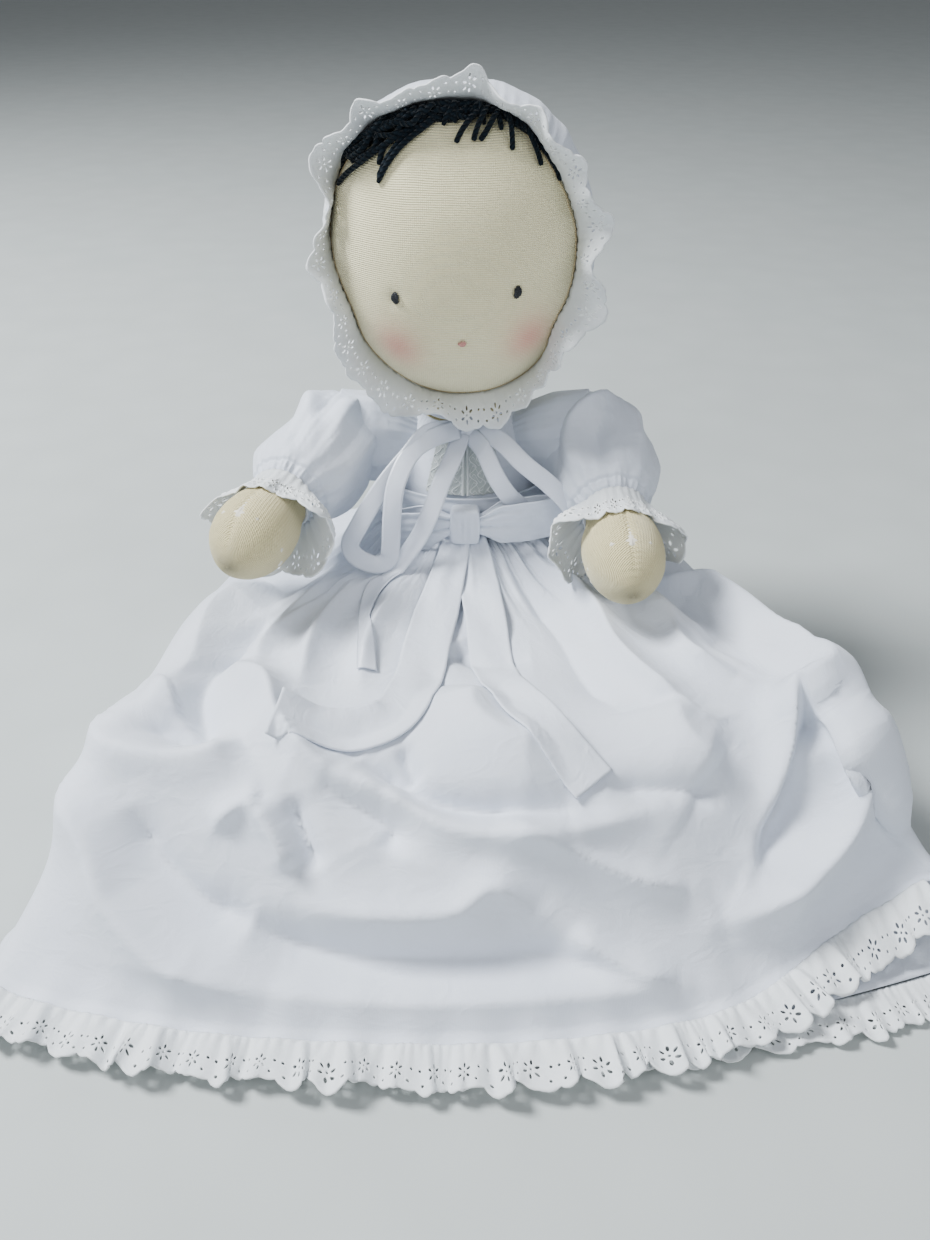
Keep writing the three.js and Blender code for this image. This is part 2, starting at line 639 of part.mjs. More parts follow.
function makeBonnet() {
  const liner = bonnetClearance;
  const band = (u, v) => headPoint(faceDirection(
    bonnetEdgeAngle + (bonnetCrownAngle - bonnetEdgeAngle) * v,
    (2 * u - 1) * bonnetOpenAngle,
  ), liner);
  place("bonnet_band", slab(band, bonnetBandColumns, bonnetBandRows, clothThickness), finishes.cotton, head);

  // The crown piece closes the back of the bonnet.
  const crownEdge = Math.PI - bonnetCrownAngle - seamGap / (headDepth / 2) - clothThickness / headDepth;
  const crownRings = (offset) => Array.from({ length: bonnetCrownRows }, (_, i) => {
    const angle = Math.PI - (crownEdge * (i + 1)) / bonnetCrownRows;
    return Array.from({ length: roundSides }, (_, j) => (
      headPoint(faceDirection(angle, (2 * Math.PI * j) / roundSides), offset)
    ));
  });
  place("bonnet_crown", loft([
    ...crownRings(liner + clothThickness), ...crownRings(liner).reverse(),
  ]), finishes.cotton, head);

  // The ruffle stands out all round the face, under the chin as well.
  const ruffleColumns = sidesPerWave * bonnetRuffleWaves;
  const ruffleStand = bonnetClearance + clothThickness - seamGap;
  const ruffle = (u, v) => {
    const clock = -2 * Math.PI * u;
    const root = headPoint(faceDirection(bonnetEdgeAngle, clock), ruffleStand);
    const out = new THREE.Vector3(Math.sin(clock), 0, Math.cos(clock));
    const wave = bonnetRuffleWave * v * Math.sin(bonnetRuffleWaves * clock);
    const chinShare = ((1 - Math.cos(clock)) / 2) ** 2;
    const flare = THREE.MathUtils.lerp(bonnetTopFlareAngle, bonnetChinFlareAngle, chinShare);
    const width = THREE.MathUtils.lerp(bonnetRuffleWidth, bonnetChinRuffleWidth, chinShare);
    return root
      .addScaledVector(forward, clothThickness / 2 + seamGap + wave + v * width * Math.sin(flare))
      .addScaledVector(out, v * width * Math.cos(flare));
  };
  const trim = slab(ruffle, ruffleColumns, ruffleRows, eyeletThickness, true);
  place("bonnet_ruffle", trim, finishes.eyelet, head);

  for (const side of ["right", "left"]) {
    const sign = sideSign[side];
    const widthAngle = bonnetTieWidth / (headDepth / 2);
    const gapAngle = (2 * seamGap) / (headHeight / 2);
    const tie = (u, v) => {
      const clock = THREE.MathUtils.lerp(bonnetOpenAngle + gapAngle, bonnetTieEndAngle, v);
      const across = sign > 0 ? u : 1 - u;
      return headPoint(faceDirection(bonnetEdgeAngle + widthAngle * across, sign * clock), liner);
    };
    const geometry = slab(tie, bonnetTieColumns, bonnetTieRows, ribbonThickness);
    place(side + "_bonnet_tie", geometry, finishes.satin, head);
  }
}

// Arms, sleeves and cuffs
function limbRings(stations, halfWidths, halfHeights, rises, inset, endInset = inset) {
  return stations.map((station, i) => {
    const isFirst = i === 0;
    const isLast = i === stations.length - 1;
    const y = station + (isLast ? endInset : 0) - (isFirst ? endInset : 0);
    return uprightRing(y, halfWidths[i] - inset, halfHeights[i] - inset, rises[i]);
  });
}

// A cone that widens from the middle of a joint, to clear the cord of the limb as the limb swings.
function swingCone(direction, radius, angle, reach) {
  const cone = new THREE.CylinderGeometry(radius + reach * Math.tan(angle), radius, reach, roundSides);
  cone.translate(0, reach / 2, 0);
  const turn = new THREE.Quaternion().setFromUnitVectors(
    new THREE.Vector3(0, 1, 0), direction.clone().normalize(),
  );
  return cone.applyQuaternion(turn);
}

function makeArm(side) {
  const sign = sideSign[side];
  const shoulder = new THREE.Vector3((sign * shoulderSpacing) / 2, shoulderBack, shoulderHeight);
  const handDrop = shoulderHeight - lapHeight - handHeightsOverLap[side];
  const arm = new THREE.Group();
  arm.position.copy(shoulder);
  arm.rotation.set(Math.asin(handDrop / armLength), 0, sign * armOutAngles[side], "ZXY");
  doll.add(arm);

  const armhole = armholeTilt.clone().multiply(new THREE.Vector3(sign, 1, 1));
  const opening = (reach) => swingCone(armhole, gussetRadius + seamGap, armSwingAngle, reach);
  const stations = armStationShares.map((share) => share * armLength);
  const radii = [
    ...armRadiusShares.map((share) => share * armRootRadius),
    ...handRadiusShares.map((share) => share * handRadius),
  ];
  const rises = stations.map(() => 0);
  const rings = (inset) => limbRings(stations, radii, radii, rises, inset);
  const reach = 2 * armRootRadius;
  place(side + "_arm_skin", cut(
    loft(rings(0)), loft(rings(skinThickness)), opening(reach),
  ), finishes.velour, arm);
  place(side + "_arm_stuffing", cut(
    loft(rings(stuffingInset)), ball(new THREE.Vector3(), shoulderBallRadius + 2 * seamGap), opening(reach),
  ), finishes.stuffing, arm);

  const sleeveStations = sleeveStationShares.map((share) => share * sleeveLength);
  const sleeveRadii = [
    ...sleeveRadiusShares.map((share) => share * sleeveRadius),
    ...cuffRadiusShares.map((share) => share * cuffRadius),
  ];
  const sleeveRises = sleeveStations.map(() => 0);
  const outer = limbRings(sleeveStations, sleeveRadii, sleeveRadii, sleeveRises, 0, 0);
  const inner = limbRings(sleeveStations, sleeveRadii, sleeveRadii, sleeveRises, clothThickness, 0);
  inner[0] = uprightRing(sleeveStations[0] - clothThickness, sleeveRadii[0], sleeveRadii[0]);
  inner[inner.length - 1] = uprightRing(
    -sleeveLength - cutOverrun, sleeveRadii.at(-1) - clothThickness, sleeveRadii.at(-1) - clothThickness,
  );
  place(side + "_sleeve", cut(loft(outer), loft(inner), opening(2 * sleeveRadius)), finishes.cotton, arm);

  const elastic = cordRing(new THREE.Vector3(), elasticRingRadius, elasticRingRadius, cuffElasticRadius);
  elastic.rotateX(Math.PI / 2).translate(0, -sleeveLength + cuffElasticRadius, 0);
  place(side + "_cuff_elastic", elastic, finishes.elastic, arm);

  const rootRadius = cuffRadius - clothThickness;
  const ruffle = (u, v) => {
    const turn = 2 * Math.PI * u;
    const wave = cuffRuffleWave * v * Math.sin(cuffRuffleWaves * turn);
    const spread = Math.sin((v * Math.PI) / 2);
    const radius = rootRadius + (cuffRuffleRadius - rootRadius) * spread;
    return new THREE.Vector3(
      radius * Math.sin(turn),
      -sleeveLength - seamGap - cuffRuffleLength * v + wave,
      radius * Math.cos(turn),
    );
  };
  const columns = sidesPerWave * cuffRuffleWaves;
  const trim = slab(ruffle, columns, ruffleRows, eyeletThickness, true);
  place(side + "_cuff_ruffle", trim, finishes.eyelet, arm);

  // The gusset is a padded cord from the torso to a ball inside the arm.
  const cordLength = sign * shoulder.x - seatHalfWidth * torsoWidthShareAt(shoulderHeight) + seamGap;
  const cord = new THREE.CylinderGeometry(gussetRadius, gussetRadius, cordLength, roundSides)
    .rotateZ(Math.PI / 2)
    .translate(shoulder.x - (sign * cordLength) / 2, shoulder.y, shoulder.z);
  place(side + "_shoulder_gusset", join(ball(shoulder, shoulderBallRadius), cord), finishes.velour);
}

// Hips and legs
function makeLegs() {
  const pegTools = [];
  for (const side of ["right", "left"]) {
    const sign = sideSign[side];
    const hip = new THREE.Vector3((sign * hipSpacing) / 2, -hipForward, hipHeight);
    const leg = new THREE.Group();
    leg.position.copy(hip);
    leg.rotation.z = sign * legOutAngle;
    doll.add(leg);

    const stations = legStationShares.map((share) => share * legLength);
    const widths = legWidthShares.map((share) => share * thighRadius);
    const heights = legHeightShares.map((share) => share * thighRadius);
    const rises = legRiseShares.map((share) => share * thighRadius);
    const rings = (inset) => limbRings(stations, widths, heights, rises, inset);
    const back = new THREE.Vector3(0, 1, 0);
    const opening = () => swingCone(back, hipPegRadius + seamGap, hipSwingAngle, 2 * thighRadius);
    const skin = cut(loft(rings(0)), loft(rings(skinThickness)), opening());
    place(side + "_leg_skin", skin, finishes.velour, leg);

    const filling = solidOf(loft(rings(stuffingInset)));
    const divide = legBagShare * legLength;
    const corner = new THREE.Vector3(thighRadius, legLength * 2, thighRadius * 2);
    const footSide = block(
      new THREE.Vector3(-corner.x, -corner.y, -corner.z), new THREE.Vector3(corner.x, -divide, corner.z),
    );
    const hipSide = block(
      new THREE.Vector3(-corner.x, -divide + seamGap, -corner.z), corner,
    );
    place(side + "_leg_bead_bag", geometryOf(filling.intersect(solidOf(footSide))), finishes.muslin, leg);
    place(side + "_leg_stuffing", geometryOf(
      filling.intersect(solidOf(hipSide))
        .subtract(solidOf(ball(new THREE.Vector3(), hipBallRadius + 2 * seamGap)))
        .subtract(solidOf(opening())),
    ), finishes.stuffing, leg);

    const pegLength = hipForward + hipBarBack - hipBarThickness / 2;
    const peg = new THREE.CylinderGeometry(hipPegRadius, hipPegRadius, pegLength, roundSides);
    pegTools.push(ball(hip, hipBallRadius), peg.translate(hip.x, hip.y + pegLength / 2, hip.z));
  }
  const barHalf = new THREE.Vector3(hipSpacing / 2 + hipBallRadius, hipBarThickness / 2, hipBarHeight / 2);
  const barMiddle = new THREE.Vector3(0, hipBarBack - hipBarThickness / 2, hipHeight);
  const bar = block(barMiddle.clone().sub(barHalf), barMiddle.clone().add(barHalf));
  place("hip_gusset", join(bar, ...pegTools), finishes.velour);
}

// Bodice, lace and buttons. The angle runs from the middle of the front round to the back.
const waistHalfWidth = seatHalfWidth * torsoWidthShareAt(waistHeight) + waistSideEase;
const waistHalfDepth = seatHalfDepth * torsoWidthShareAt(waistHeight) + waistFrontEase;

function bodicePoint(angle, share, offset = 0) {
  const height = THREE.MathUtils.clamp(share, 0, 1) * (bodiceWidthShares.length - 1);
  const row = Math.min(Math.floor(height), bodiceWidthShares.length - 2);
  const between = (shares) => THREE.MathUtils.lerp(shares[row], shares[row + 1], height - row);
  const halfWidth = waistHalfWidth * between(bodiceWidthShares) + offset;
  const halfDepth = waistHalfDepth * between(bodiceDepthShares) + offset;
  const centre = torsoCentre(waistHeight + bodiceHeight * share);
  return new THREE.Vector3(
    centre.x + halfWidth * Math.sin(angle), centre.y - halfDepth * Math.cos(angle), centre.z,
  );
}

function makeBodice() {
  const rows = bodiceWidthShares.length - 1;
  const panel = (name, from, to, columns) => {
    const sheet = (u, v) => bodicePoint(THREE.MathUtils.lerp(from, to, u), v);
    return place(name, slab(sheet, columns, rows, clothThickness), finishes.cotton);
  };
  const seam = seamGap / waistHalfWidth;
  const armholes = new THREE.CylinderGeometry(armholeRadius, armholeRadius, shoulderSpacing, roundSides)
    .rotateZ(Math.PI / 2)
    .translate(0, shoulderBack, shoulderHeight);
  const front = panel("bodice_front", -bodiceSeamAngle, bodiceSeamAngle, bodiceFrontColumns);
  front.geometry = cut(front.geometry, armholes);
  const side = bodiceSeamAngle + seam * 2;
  panel("bodice_back_left", side, bodiceOpeningAngle - seam, bodiceBackColumns);
  panel("bodice_back_right", bodiceOpeningAngle + seam, 2 * Math.PI - side, bodiceBackColumns);

  const laceStand = clothThickness + 2 * seamGap;
  const laceFoot = (sashWidth - sashDrop + seamGap) / bodiceHeight;
  const lace = (u, v) => {
    const half = THREE.MathUtils.lerp(laceBottomAngle, laceTopAngle, v);
    const share = THREE.MathUtils.lerp(laceFoot, 1, v);
    return bodicePoint(THREE.MathUtils.lerp(-half, half, u), share, laceStand);
  };
  place("lace_panel", slab(lace, laceColumns, laceRows, laceThickness), finishes.lace);

  const top = waistHeight + bodiceHeight + clothThickness;
  const bandHalfWidth = waistHalfWidth * bodiceWidthShares.at(-1);
  const bandHalfDepth = waistHalfDepth * bodiceDepthShares.at(-1);
  const band = (u, v) => {
    const turn = 2 * Math.PI * u;
    const centre = torsoCentre(top + neckbandHeight * v);
    return new THREE.Vector3(
      bandHalfWidth * Math.cos(turn), centre.y + bandHalfDepth * Math.sin(turn), centre.z,
    );
  };
  place("neckband", slab(band, roundSides, 1, clothThickness, true), finishes.cotton);

  buttonHeightShares.forEach((share, i) => {
    const angle = bodiceOpeningAngle - (buttonRadius + seamGap) / (waistHalfWidth / 2);
    const across = bodicePoint(angle + slopeShare, share).sub(bodicePoint(angle - slopeShare, share));
    const upward = bodicePoint(angle, share + slopeShare).sub(bodicePoint(angle, share - slopeShare));
    const outward = across.cross(upward).normalize();
    const stand = clothThickness + 2 * seamGap + buttonThickness / 2;
    const spot = bodicePoint(angle, share).addScaledVector(outward, stand);
    const button = new THREE.CylinderGeometry(buttonRadius, buttonRadius, buttonThickness, roundSides);
    button.applyQuaternion(new THREE.Quaternion().setFromUnitVectors(new THREE.Vector3(0, 1, 0), outward));
    place("back_button_" + (i + 1), button.translate(spot.x, spot.y, spot.z), finishes.button);
  });
}

// Sash: a band round the waist with a bow in front
function sashFront() {
  const middle = torsoCentre(waistHeight - sashDrop + sashWidth / 2);
  return middle.y - waistHalfDepth - clothThickness - 3 * seamGap - sashThickness;
}

function makeSash() {
  const bottom = waistHeight - sashDrop;
  const band = (u, v) => {
    const turn = 2 * Math.PI * u;
    const centre = torsoCentre(bottom + sashWidth * v);
    return new THREE.Vector3(
      (waistHalfWidth + clothThickness + seamGap) * Math.cos(turn),
      centre.y + (waistHalfDepth + clothThickness + 2 * seamGap) * Math.sin(turn),
      centre.z,
    );
  };
  place("sash_band", slab(band, 2 * roundSides, 1, sashThickness, true), finishes.cotton);

  const front = sashFront();
  const knotBottom = bottom + (sashWidth - sashKnotHeight) / 2;
  const knot = new THREE.SphereGeometry(1 / 2, roundSides, knotRows)
    .scale(sashKnotWidth, sashKnotDepth, sashKnotHeight)
    .translate(0, front - sashKnotDepth / 2, knotBottom + sashKnotHeight / 2);
  place("sash_knot", knot, finishes.cotton);

  for (const side of ["right", "left"]) {
    const sign = sideSign[side];
    const length = bowLoopLengths[side];
    const start = sashKnotWidth / 2 + seamGap;
    const loop = (u, v) => {
      const turn = 2 * Math.PI * u;
      const along = start + (length * (1 - Math.cos(turn))) / 2;
      const bulge = (bowLoopDepth / 2 - sashThickness / 2) * Math.sin(turn);
      const backset = ((along - start) / length) * bowLoopDepth;
      const z = bottom + sashWidth * v - (bowLoopDroops[side] * (along - start)) / length;
      return new THREE.Vector3(sign * along, front - sashKnotDepth / 2 - seamGap + bulge + backset / 2, z);
    };
    const outward = (u, v) => loop(sign > 0 ? u : 1 - u, v);
    place("bow_loop_" + side, slab(outward, bowLoopSides, 1, sashThickness / 2, true), finishes.cotton);
  }
}

// Skirt. The turn runs from 0 at the right side seam, over the lap, to 1 at the left side seam.
const onFloor = (shares) => shares.map(([x, y]) => new THREE.Vector3(x * skirtReach, y * skirtReach, 0));
const frontOutline = new THREE.CatmullRomCurve3([
  ...onFloor(rightSideShares),
  ...onFloor(frontHemShares),
  ...onFloor(liftedHemShares),
  ...onFloor(leftSideShares),
]);

// The height of the skirt at a share of the way from the waist to its edge.
function drapeHeight(riseShares, heightShares, share) {
  const rise = tableAt(drapeStepShares, riseShares, share) * (skirtTop - lapHeight);
  return rise + tableAt(drapeStepShares, heightShares, share) * lapHeight;
}

function plainSkirt(turn, share) {
  const waist = bodicePoint(bodiceSeamAngle * (2 * turn - 1), 0);
  const edge = frontOutline.getPoint(THREE.MathUtils.clamp(turn, 0, 1));
  const frontness = Math.max(0, Math.sin(Math.PI * turn)) ** lapFullness;
  const height = THREE.MathUtils.lerp(
    drapeHeight(sideWaistRiseShares, sideDrapeHeightShares, share),
    drapeHeight(waistRiseShares, drapeHeightShares, share),
    frontness,
  );
  const liftness = Math.exp(-(((turn - hemLiftTurnShare) / hemLiftWidthShare) ** 2)) * share ** hemLiftPower;
  return new THREE.Vector3(
    THREE.MathUtils.lerp(waist.x, edge.x, share),
    THREE.MathUtils.lerp(waist.y, edge.y, share),
    height + hemHeight * share + hemLift * liftness,
  );
}

// The way out from a surface of the skirt, which never points down.
function outwardFrom(surface, turn, share) {
  const alongTurn = surface(turn + slopeShare, share).sub(surface(turn - slopeShare, share));
  const alongShare = surface(turn, share + slopeShare).sub(surface(turn, share - slopeShare));
  const outward = alongShare.cross(alongTurn).normalize();
  if (outward.z < 0) outward.negate();
  return outward;
}

const foldLines = Object.entries(foldLineShares).map(([name, places]) => ({
  points: new THREE.CatmullRomCurve3(places.map((place) => plainSkirt(...place))).getPoints(foldLineSteps),
  height: foldHeight * foldHeightShares[name],
  halfWidth: foldHalfWidth * foldWidthShares[name],
}));

// How far the main folds stand out from the plain skirt. They end before the seams and the hem.
function foldRise(turn, share, plain) {
  const fade = (1 - share ** foldFadePower) * (1 - Math.abs(2 * turn - 1) ** foldFadePower);
  const rises = foldLines.map(({ points, height, halfWidth }) => {
    const away = Math.min(...points.map((point) => point.distanceTo(plain)));
    return height * Math.exp(-((away / halfWidth) ** 2));
  });
  return Math.max(0, fade) * rises.reduce((sum, rise) => sum + rise, 0);
}

function skirtPoint(turn, share) {
  const plain = plainSkirt(turn, share);
  const rise = foldRise(turn, share, plain);
  return plain.addScaledVector(outwardFrom(plainSkirt, turn, share), rise);
}

// The outer face of the skirt, moved out by offset.
function onSkirt(turn, share, offset) {
  return skirtPoint(turn, share)
    .addScaledVector(outwardFrom(skirtPoint, turn, share), clothThickness + offset);
}

function makeSkirt() {
  const front = slab((u, v) => skirtPoint(1 - u, v), skirtColumns, skirtRows, clothThickness);
  place("skirt_front", front, finishes.cotton);

  // The back panel falls behind the seat, turns on the floor and runs forward under the doll.
  const backOutline = new THREE.CatmullRomCurve3(onFloor(seatBackShares));
  const seam = (2 * seamGap) / waistHalfWidth;
  const wall = (u, v) => {
    const angle = THREE.MathUtils.lerp(-bodiceSeamAngle - seam, bodiceSeamAngle + seam - 2 * Math.PI, u);
    const waist = bodicePoint(angle, 0);
    const edge = backOutline.getPoint(THREE.MathUtils.clamp(u, 0, 1));
    edge.setLength(edge.length() - clothThickness);
    const landing = (clothThickness / 2) * v ** landingPower;
    return new THREE.Vector3(
      THREE.MathUtils.lerp(waist.x, edge.x, v),
      THREE.MathUtils.lerp(waist.y, edge.y, v),
      drapeHeight(sideWaistRiseShares, sideDrapeHeightShares, v) + landing,
    );
  };
  const backWall = slab(wall, backWallColumns, backWallRows, clothThickness);
  const backHem = new THREE.CatmullRomCurve3(onFloor(backHemShares));
  const plan = new THREE.Shape([
    ...onFloor(rightSideShares),
    ...backHem.getPoints(roundSides),
    ...onFloor(leftSideShares),
    ...backOutline.getPoints(2 * roundSides).reverse(),
  ].map((point) => new THREE.Vector2(point.x, point.y)));
  const floorPanel = new THREE.ExtrudeGeometry(plan, { depth: clothThickness, bevelEnabled: false });
  place("skirt_back", join(floorPanel, backWall), finishes.cotton);

  const spans = frontOutline.points.length - 1;
  const ruffleTurns = [rightSideShares.length / spans, 1 - leftSideShares.length / spans];
  const frontRuffle = (u, v) => {
    const turn = THREE.MathUtils.lerp(ruffleTurns[1], ruffleTurns[0], u);
    const root = skirtPoint(turn, 1);
    const outward = forward.clone().multiplyScalar(clothThickness + seamGap + hemRuffleWidth * v);
    const wave = hemRuffleWave * v * (1 + Math.sin(2 * Math.PI * hemRuffleWaves * u));
    return root.add(outward).addScaledVector(up, wave + seamGap);
  };
  const frontColumns = sidesPerWave * hemRuffleWaves;
  place("hem_ruffle_front", slab(frontRuffle, frontColumns, ruffleRows, eyeletThickness), finishes.eyelet);

  const backRuffle = (u, v) => {
    const root = backHem.getPoint(THREE.MathUtils.clamp(1 - u, 0, 1));
    const scallop = 1 + (eyeletThickness / hemRuffleWidth) * Math.sin(2 * Math.PI * hemRuffleWaves * u);
    return root.addScaledVector(forward, seamGap + hemRuffleWidth * v * scallop);
  };
  place("hem_ruffle_back", slab(backRuffle, 2 * hemRuffleWaves, 1, eyeletThickness), finishes.eyelet);

  const sashTail = (side, endShare, turnShare) => {
    const tail = (u, v) => {
      const share = THREE.MathUtils.lerp(tailStartShare, endShare, v);
      const line = 1 / 2 + turnShare * v;
      const perTurn = skirtPoint(line + slopeShare, share).distanceTo(skirtPoint(line - slopeShare, share))
        / (2 * slopeShare);
      const lead = sideSign[side] * (sashTailWidth / 2 + seamGap) * (1 - v);
      const across = lead + (u - 1 / 2) * sashTailWidth;
      return onSkirt(line + across / perTurn, share, layGap);
    };
    const cloth = slab((u, v) => tail(1 - u, v), sashTailColumns, sashTailRows, sashThickness / 2);
    place("sash_tail_" + side, cloth, finishes.cotton);
  };
  sashTail("right", rightTailEndShare, rightTailTurnShare);
  sashTail("left", leftTailEndShare, leftTailTurnShare);
}

// Ribbons, tied under the chin and hanging over the bodice
function makeRibbons() {
  const stand = clothThickness + laceThickness + 5 * seamGap;
  const knotSpot = bodicePoint(0, ribbonKnotShare, stand + ribbonKnotDepth / 2);
  const knot = new THREE.SphereGeometry(1 / 2, roundSides, knotRows)
    .scale(ribbonKnotWidth, ribbonKnotDepth, ribbonKnotHeight)
    .translate(knotSpot.x, knotSpot.y, knotSpot.z);
  place("ribbon_knot", knot, finishes.satin);

  // Each strand leaves the foot of the knot and falls clear of the bow.
  const bowFront = sashFront() - sashKnotDepth - layGap;
  const strand = (name, pathShares) => {
    const points = pathShares.map(([across, down, depth]) => new THREE.Vector3(
      across * ribbonFall,
      THREE.MathUtils.lerp(knotSpot.y, bowFront, depth),
      knotSpot.z - ribbonKnotHeight / 2 - seamGap - down * ribbonFall,
    ));
    place(name, ribbon(points), finishes.satin);
  };
  strand("ribbon_loop_right", rightLoopPathShares);
  strand("ribbon_tail_right", rightTailPathShares);
  strand("ribbon_tail_left", leftTailPathShares);
  strand("ribbon_loop_left", leftLoopPathShares);
}

makeTorso();
makeNeck();
makeHead();
makeHair();
makeBonnet();
makeBodice();
makeSash();
makeRibbons();
makeArm("right");
makeArm("left");
makeLegs();
makeSkirt();

export default doll;
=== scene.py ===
# %% [markdown]
# A weighted baby doll sits in a long white gown, with an eyelet bonnet round its face.
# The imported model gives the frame: its bodies, its joints and a plain solid for each sewn piece.
# Here each soft piece is made again as cloth, yarn or velour, in metres, where its solid lies.

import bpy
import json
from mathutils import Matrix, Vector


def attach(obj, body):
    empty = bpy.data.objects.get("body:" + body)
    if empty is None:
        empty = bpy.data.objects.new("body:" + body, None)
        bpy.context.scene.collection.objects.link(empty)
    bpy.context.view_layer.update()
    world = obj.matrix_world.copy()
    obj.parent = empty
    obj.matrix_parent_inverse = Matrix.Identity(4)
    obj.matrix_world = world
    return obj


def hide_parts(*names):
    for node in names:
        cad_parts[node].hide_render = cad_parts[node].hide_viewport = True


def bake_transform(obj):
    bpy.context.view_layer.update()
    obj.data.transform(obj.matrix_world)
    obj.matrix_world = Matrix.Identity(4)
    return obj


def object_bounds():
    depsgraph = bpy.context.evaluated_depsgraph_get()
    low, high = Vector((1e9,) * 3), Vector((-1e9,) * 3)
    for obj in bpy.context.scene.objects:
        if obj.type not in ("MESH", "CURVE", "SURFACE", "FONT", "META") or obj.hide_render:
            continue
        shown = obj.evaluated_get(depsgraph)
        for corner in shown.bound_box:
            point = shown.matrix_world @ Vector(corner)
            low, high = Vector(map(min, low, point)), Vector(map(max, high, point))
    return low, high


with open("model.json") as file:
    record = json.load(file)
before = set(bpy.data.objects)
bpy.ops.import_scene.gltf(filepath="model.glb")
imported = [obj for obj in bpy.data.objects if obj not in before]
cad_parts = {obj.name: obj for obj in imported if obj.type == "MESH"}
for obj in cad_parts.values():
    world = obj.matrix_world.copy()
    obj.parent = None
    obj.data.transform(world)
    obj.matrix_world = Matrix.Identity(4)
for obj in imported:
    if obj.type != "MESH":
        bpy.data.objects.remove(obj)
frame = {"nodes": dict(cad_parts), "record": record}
cad_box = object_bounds()

# %% Tools for meshes and numbers
import json
import math

import bpy
import numpy as np
from mathutils import Matrix, Vector
from mathutils.geometry import delaunay_2d_cdt

mm = 0.001
rng = np.random.default_rng(7)
low_corner, high_corner = (np.array(corner) for corner in cad_box)
print("the box is", np.round((high_corner - low_corner) / mm), "mm")

# %% [markdown]
# The camera comes first. The photograph looks down on the doll from in front, at arm's length.
# Its focal length and place are named. A sensor of 36 mm lies along the longer side of the image.

# %% Camera
photo_height_px = 1240
focal_length_px = 1100
sensor_size = 36
camera_place = Vector((0, -588, 412.5)) * mm
camera_dip = math.radians(33)

camera = bpy.data.objects.new("camera", bpy.data.cameras.new("camera"))
camera.data.sensor_width = sensor_size
camera.data.lens = sensor_size * focal_length_px / photo_height_px
camera.location = camera_place
camera.rotation_euler = (math.pi / 2 - camera_dip, 0, 0)
bpy.context.scene.collection.objects.link(camera)
bpy.context.scene.camera = camera
bpy.context.scene.view_settings.look = "AgX - Medium High Contrast"
print("lens", round(camera.data.lens, 1), "mm")

# %% [markdown]
# A white gown on a pale ground needs soft light that still shows each fold.
# One window-like light stands high on the left. Two weak ones fill the shadows, from the right and from
# the front, and the world adds an even grey, so that no shadow goes black.

# %% Light
lap_middle = Vector((0, -0.1, 0.1))
studio_lights = [
    # name, place and size in metres, power in watts, colour
    ("window", (-1.55, 0.15, 2.1), 0.75, 94, (0.95, 0.975, 1)),
    ("room_fill", (1.3, -1.0, 1.2), 1.6, 10, (0.93, 0.96, 1)),
    ("front_fill", (-0.6, -1.6, 1.0), 1.2, 9, (0.96, 0.98, 1)),
]
world_colour = (0.88, 0.91, 0.95, 1)
world_strength = 0.25
for name, place, size, power, colour in studio_lights:
    light = bpy.data.objects.new(name, bpy.data.lights.new(name, "AREA"))
    light.data.size = size
    light.data.energy = power
    light.data.color = colour
    light.location = place
    light.rotation_euler = (lap_middle - Vector(place)).to_track_quat("-Z", "Y").to_euler()
    bpy.context.scene.collection.objects.link(light)
world = bpy.data.worlds.new("studio")
bpy.context.scene.world = world
world.use_nodes = True
background = world.node_tree.nodes["Background"]
background.inputs["Color"].default_value = world_colour
background.inputs["Strength"].default_value = world_strength
print(len(bpy.data.lights), "lights")

# %% [markdown]
# Every finish here is made of shader nodes, so each one needs nodes made, set and joined many times.
# Two small tools keep that short: one adds a node, the other joins a value or a socket to a socket.

# %% Tools for shader nodes
def add_node(tree, kind, inputs, **settings):
    """A node with its settings, and its inputs set by name or number to a value or joined to a socket."""
    node = tree.nodes.new(kind)
    for name, value in settings.items():
        setattr(node, name, value)
    for name, value in inputs.items():
        join(tree, value, node.inputs[name])
    return node


def join(tree, value, socket):
    """Sets a socket to a value, or links it to another socket."""
    if isinstance(value, bpy.types.NodeSocket):
        tree.links.new(value, socket)
    else:
        socket.default_value = value


def calculate(tree, operation, first, second=0.0):
    """The result of a Math node."""
    return add_node(tree, "ShaderNodeMath", {0: first, 1: second}, operation=operation).outputs[0]


def group_tree(name, inputs, outputs):
    """An empty node group, with its input and output nodes. Inputs are (name, kind, value)."""
    tree = bpy.data.node_groups.new(name, "ShaderNodeTree")
    for label, kind, value in inputs:
        socket = tree.interface.new_socket(label, in_out="INPUT", socket_type="NodeSocket" + kind)
        if value is not None:
            socket.default_value = value
    for label, kind in outputs:
        tree.interface.new_socket(label, in_out="OUTPUT", socket_type="NodeSocket" + kind)
    return tree, tree.nodes.new("NodeGroupInput").outputs, tree.nodes.new("NodeGroupOutput").inputs


# %% [markdown]
# Woven cloth shows its threads as a fine grid. Two wave textures, one for each set of threads, give it.
# They run over the cloth's own flat sizes, kept as UVs in metres, so that the threads follow every fold.

# %% The weave group
WAVES_PER_UNIT = 20 / (2 * math.pi)  # A wave texture of scale 1 has this many waves in one unit.

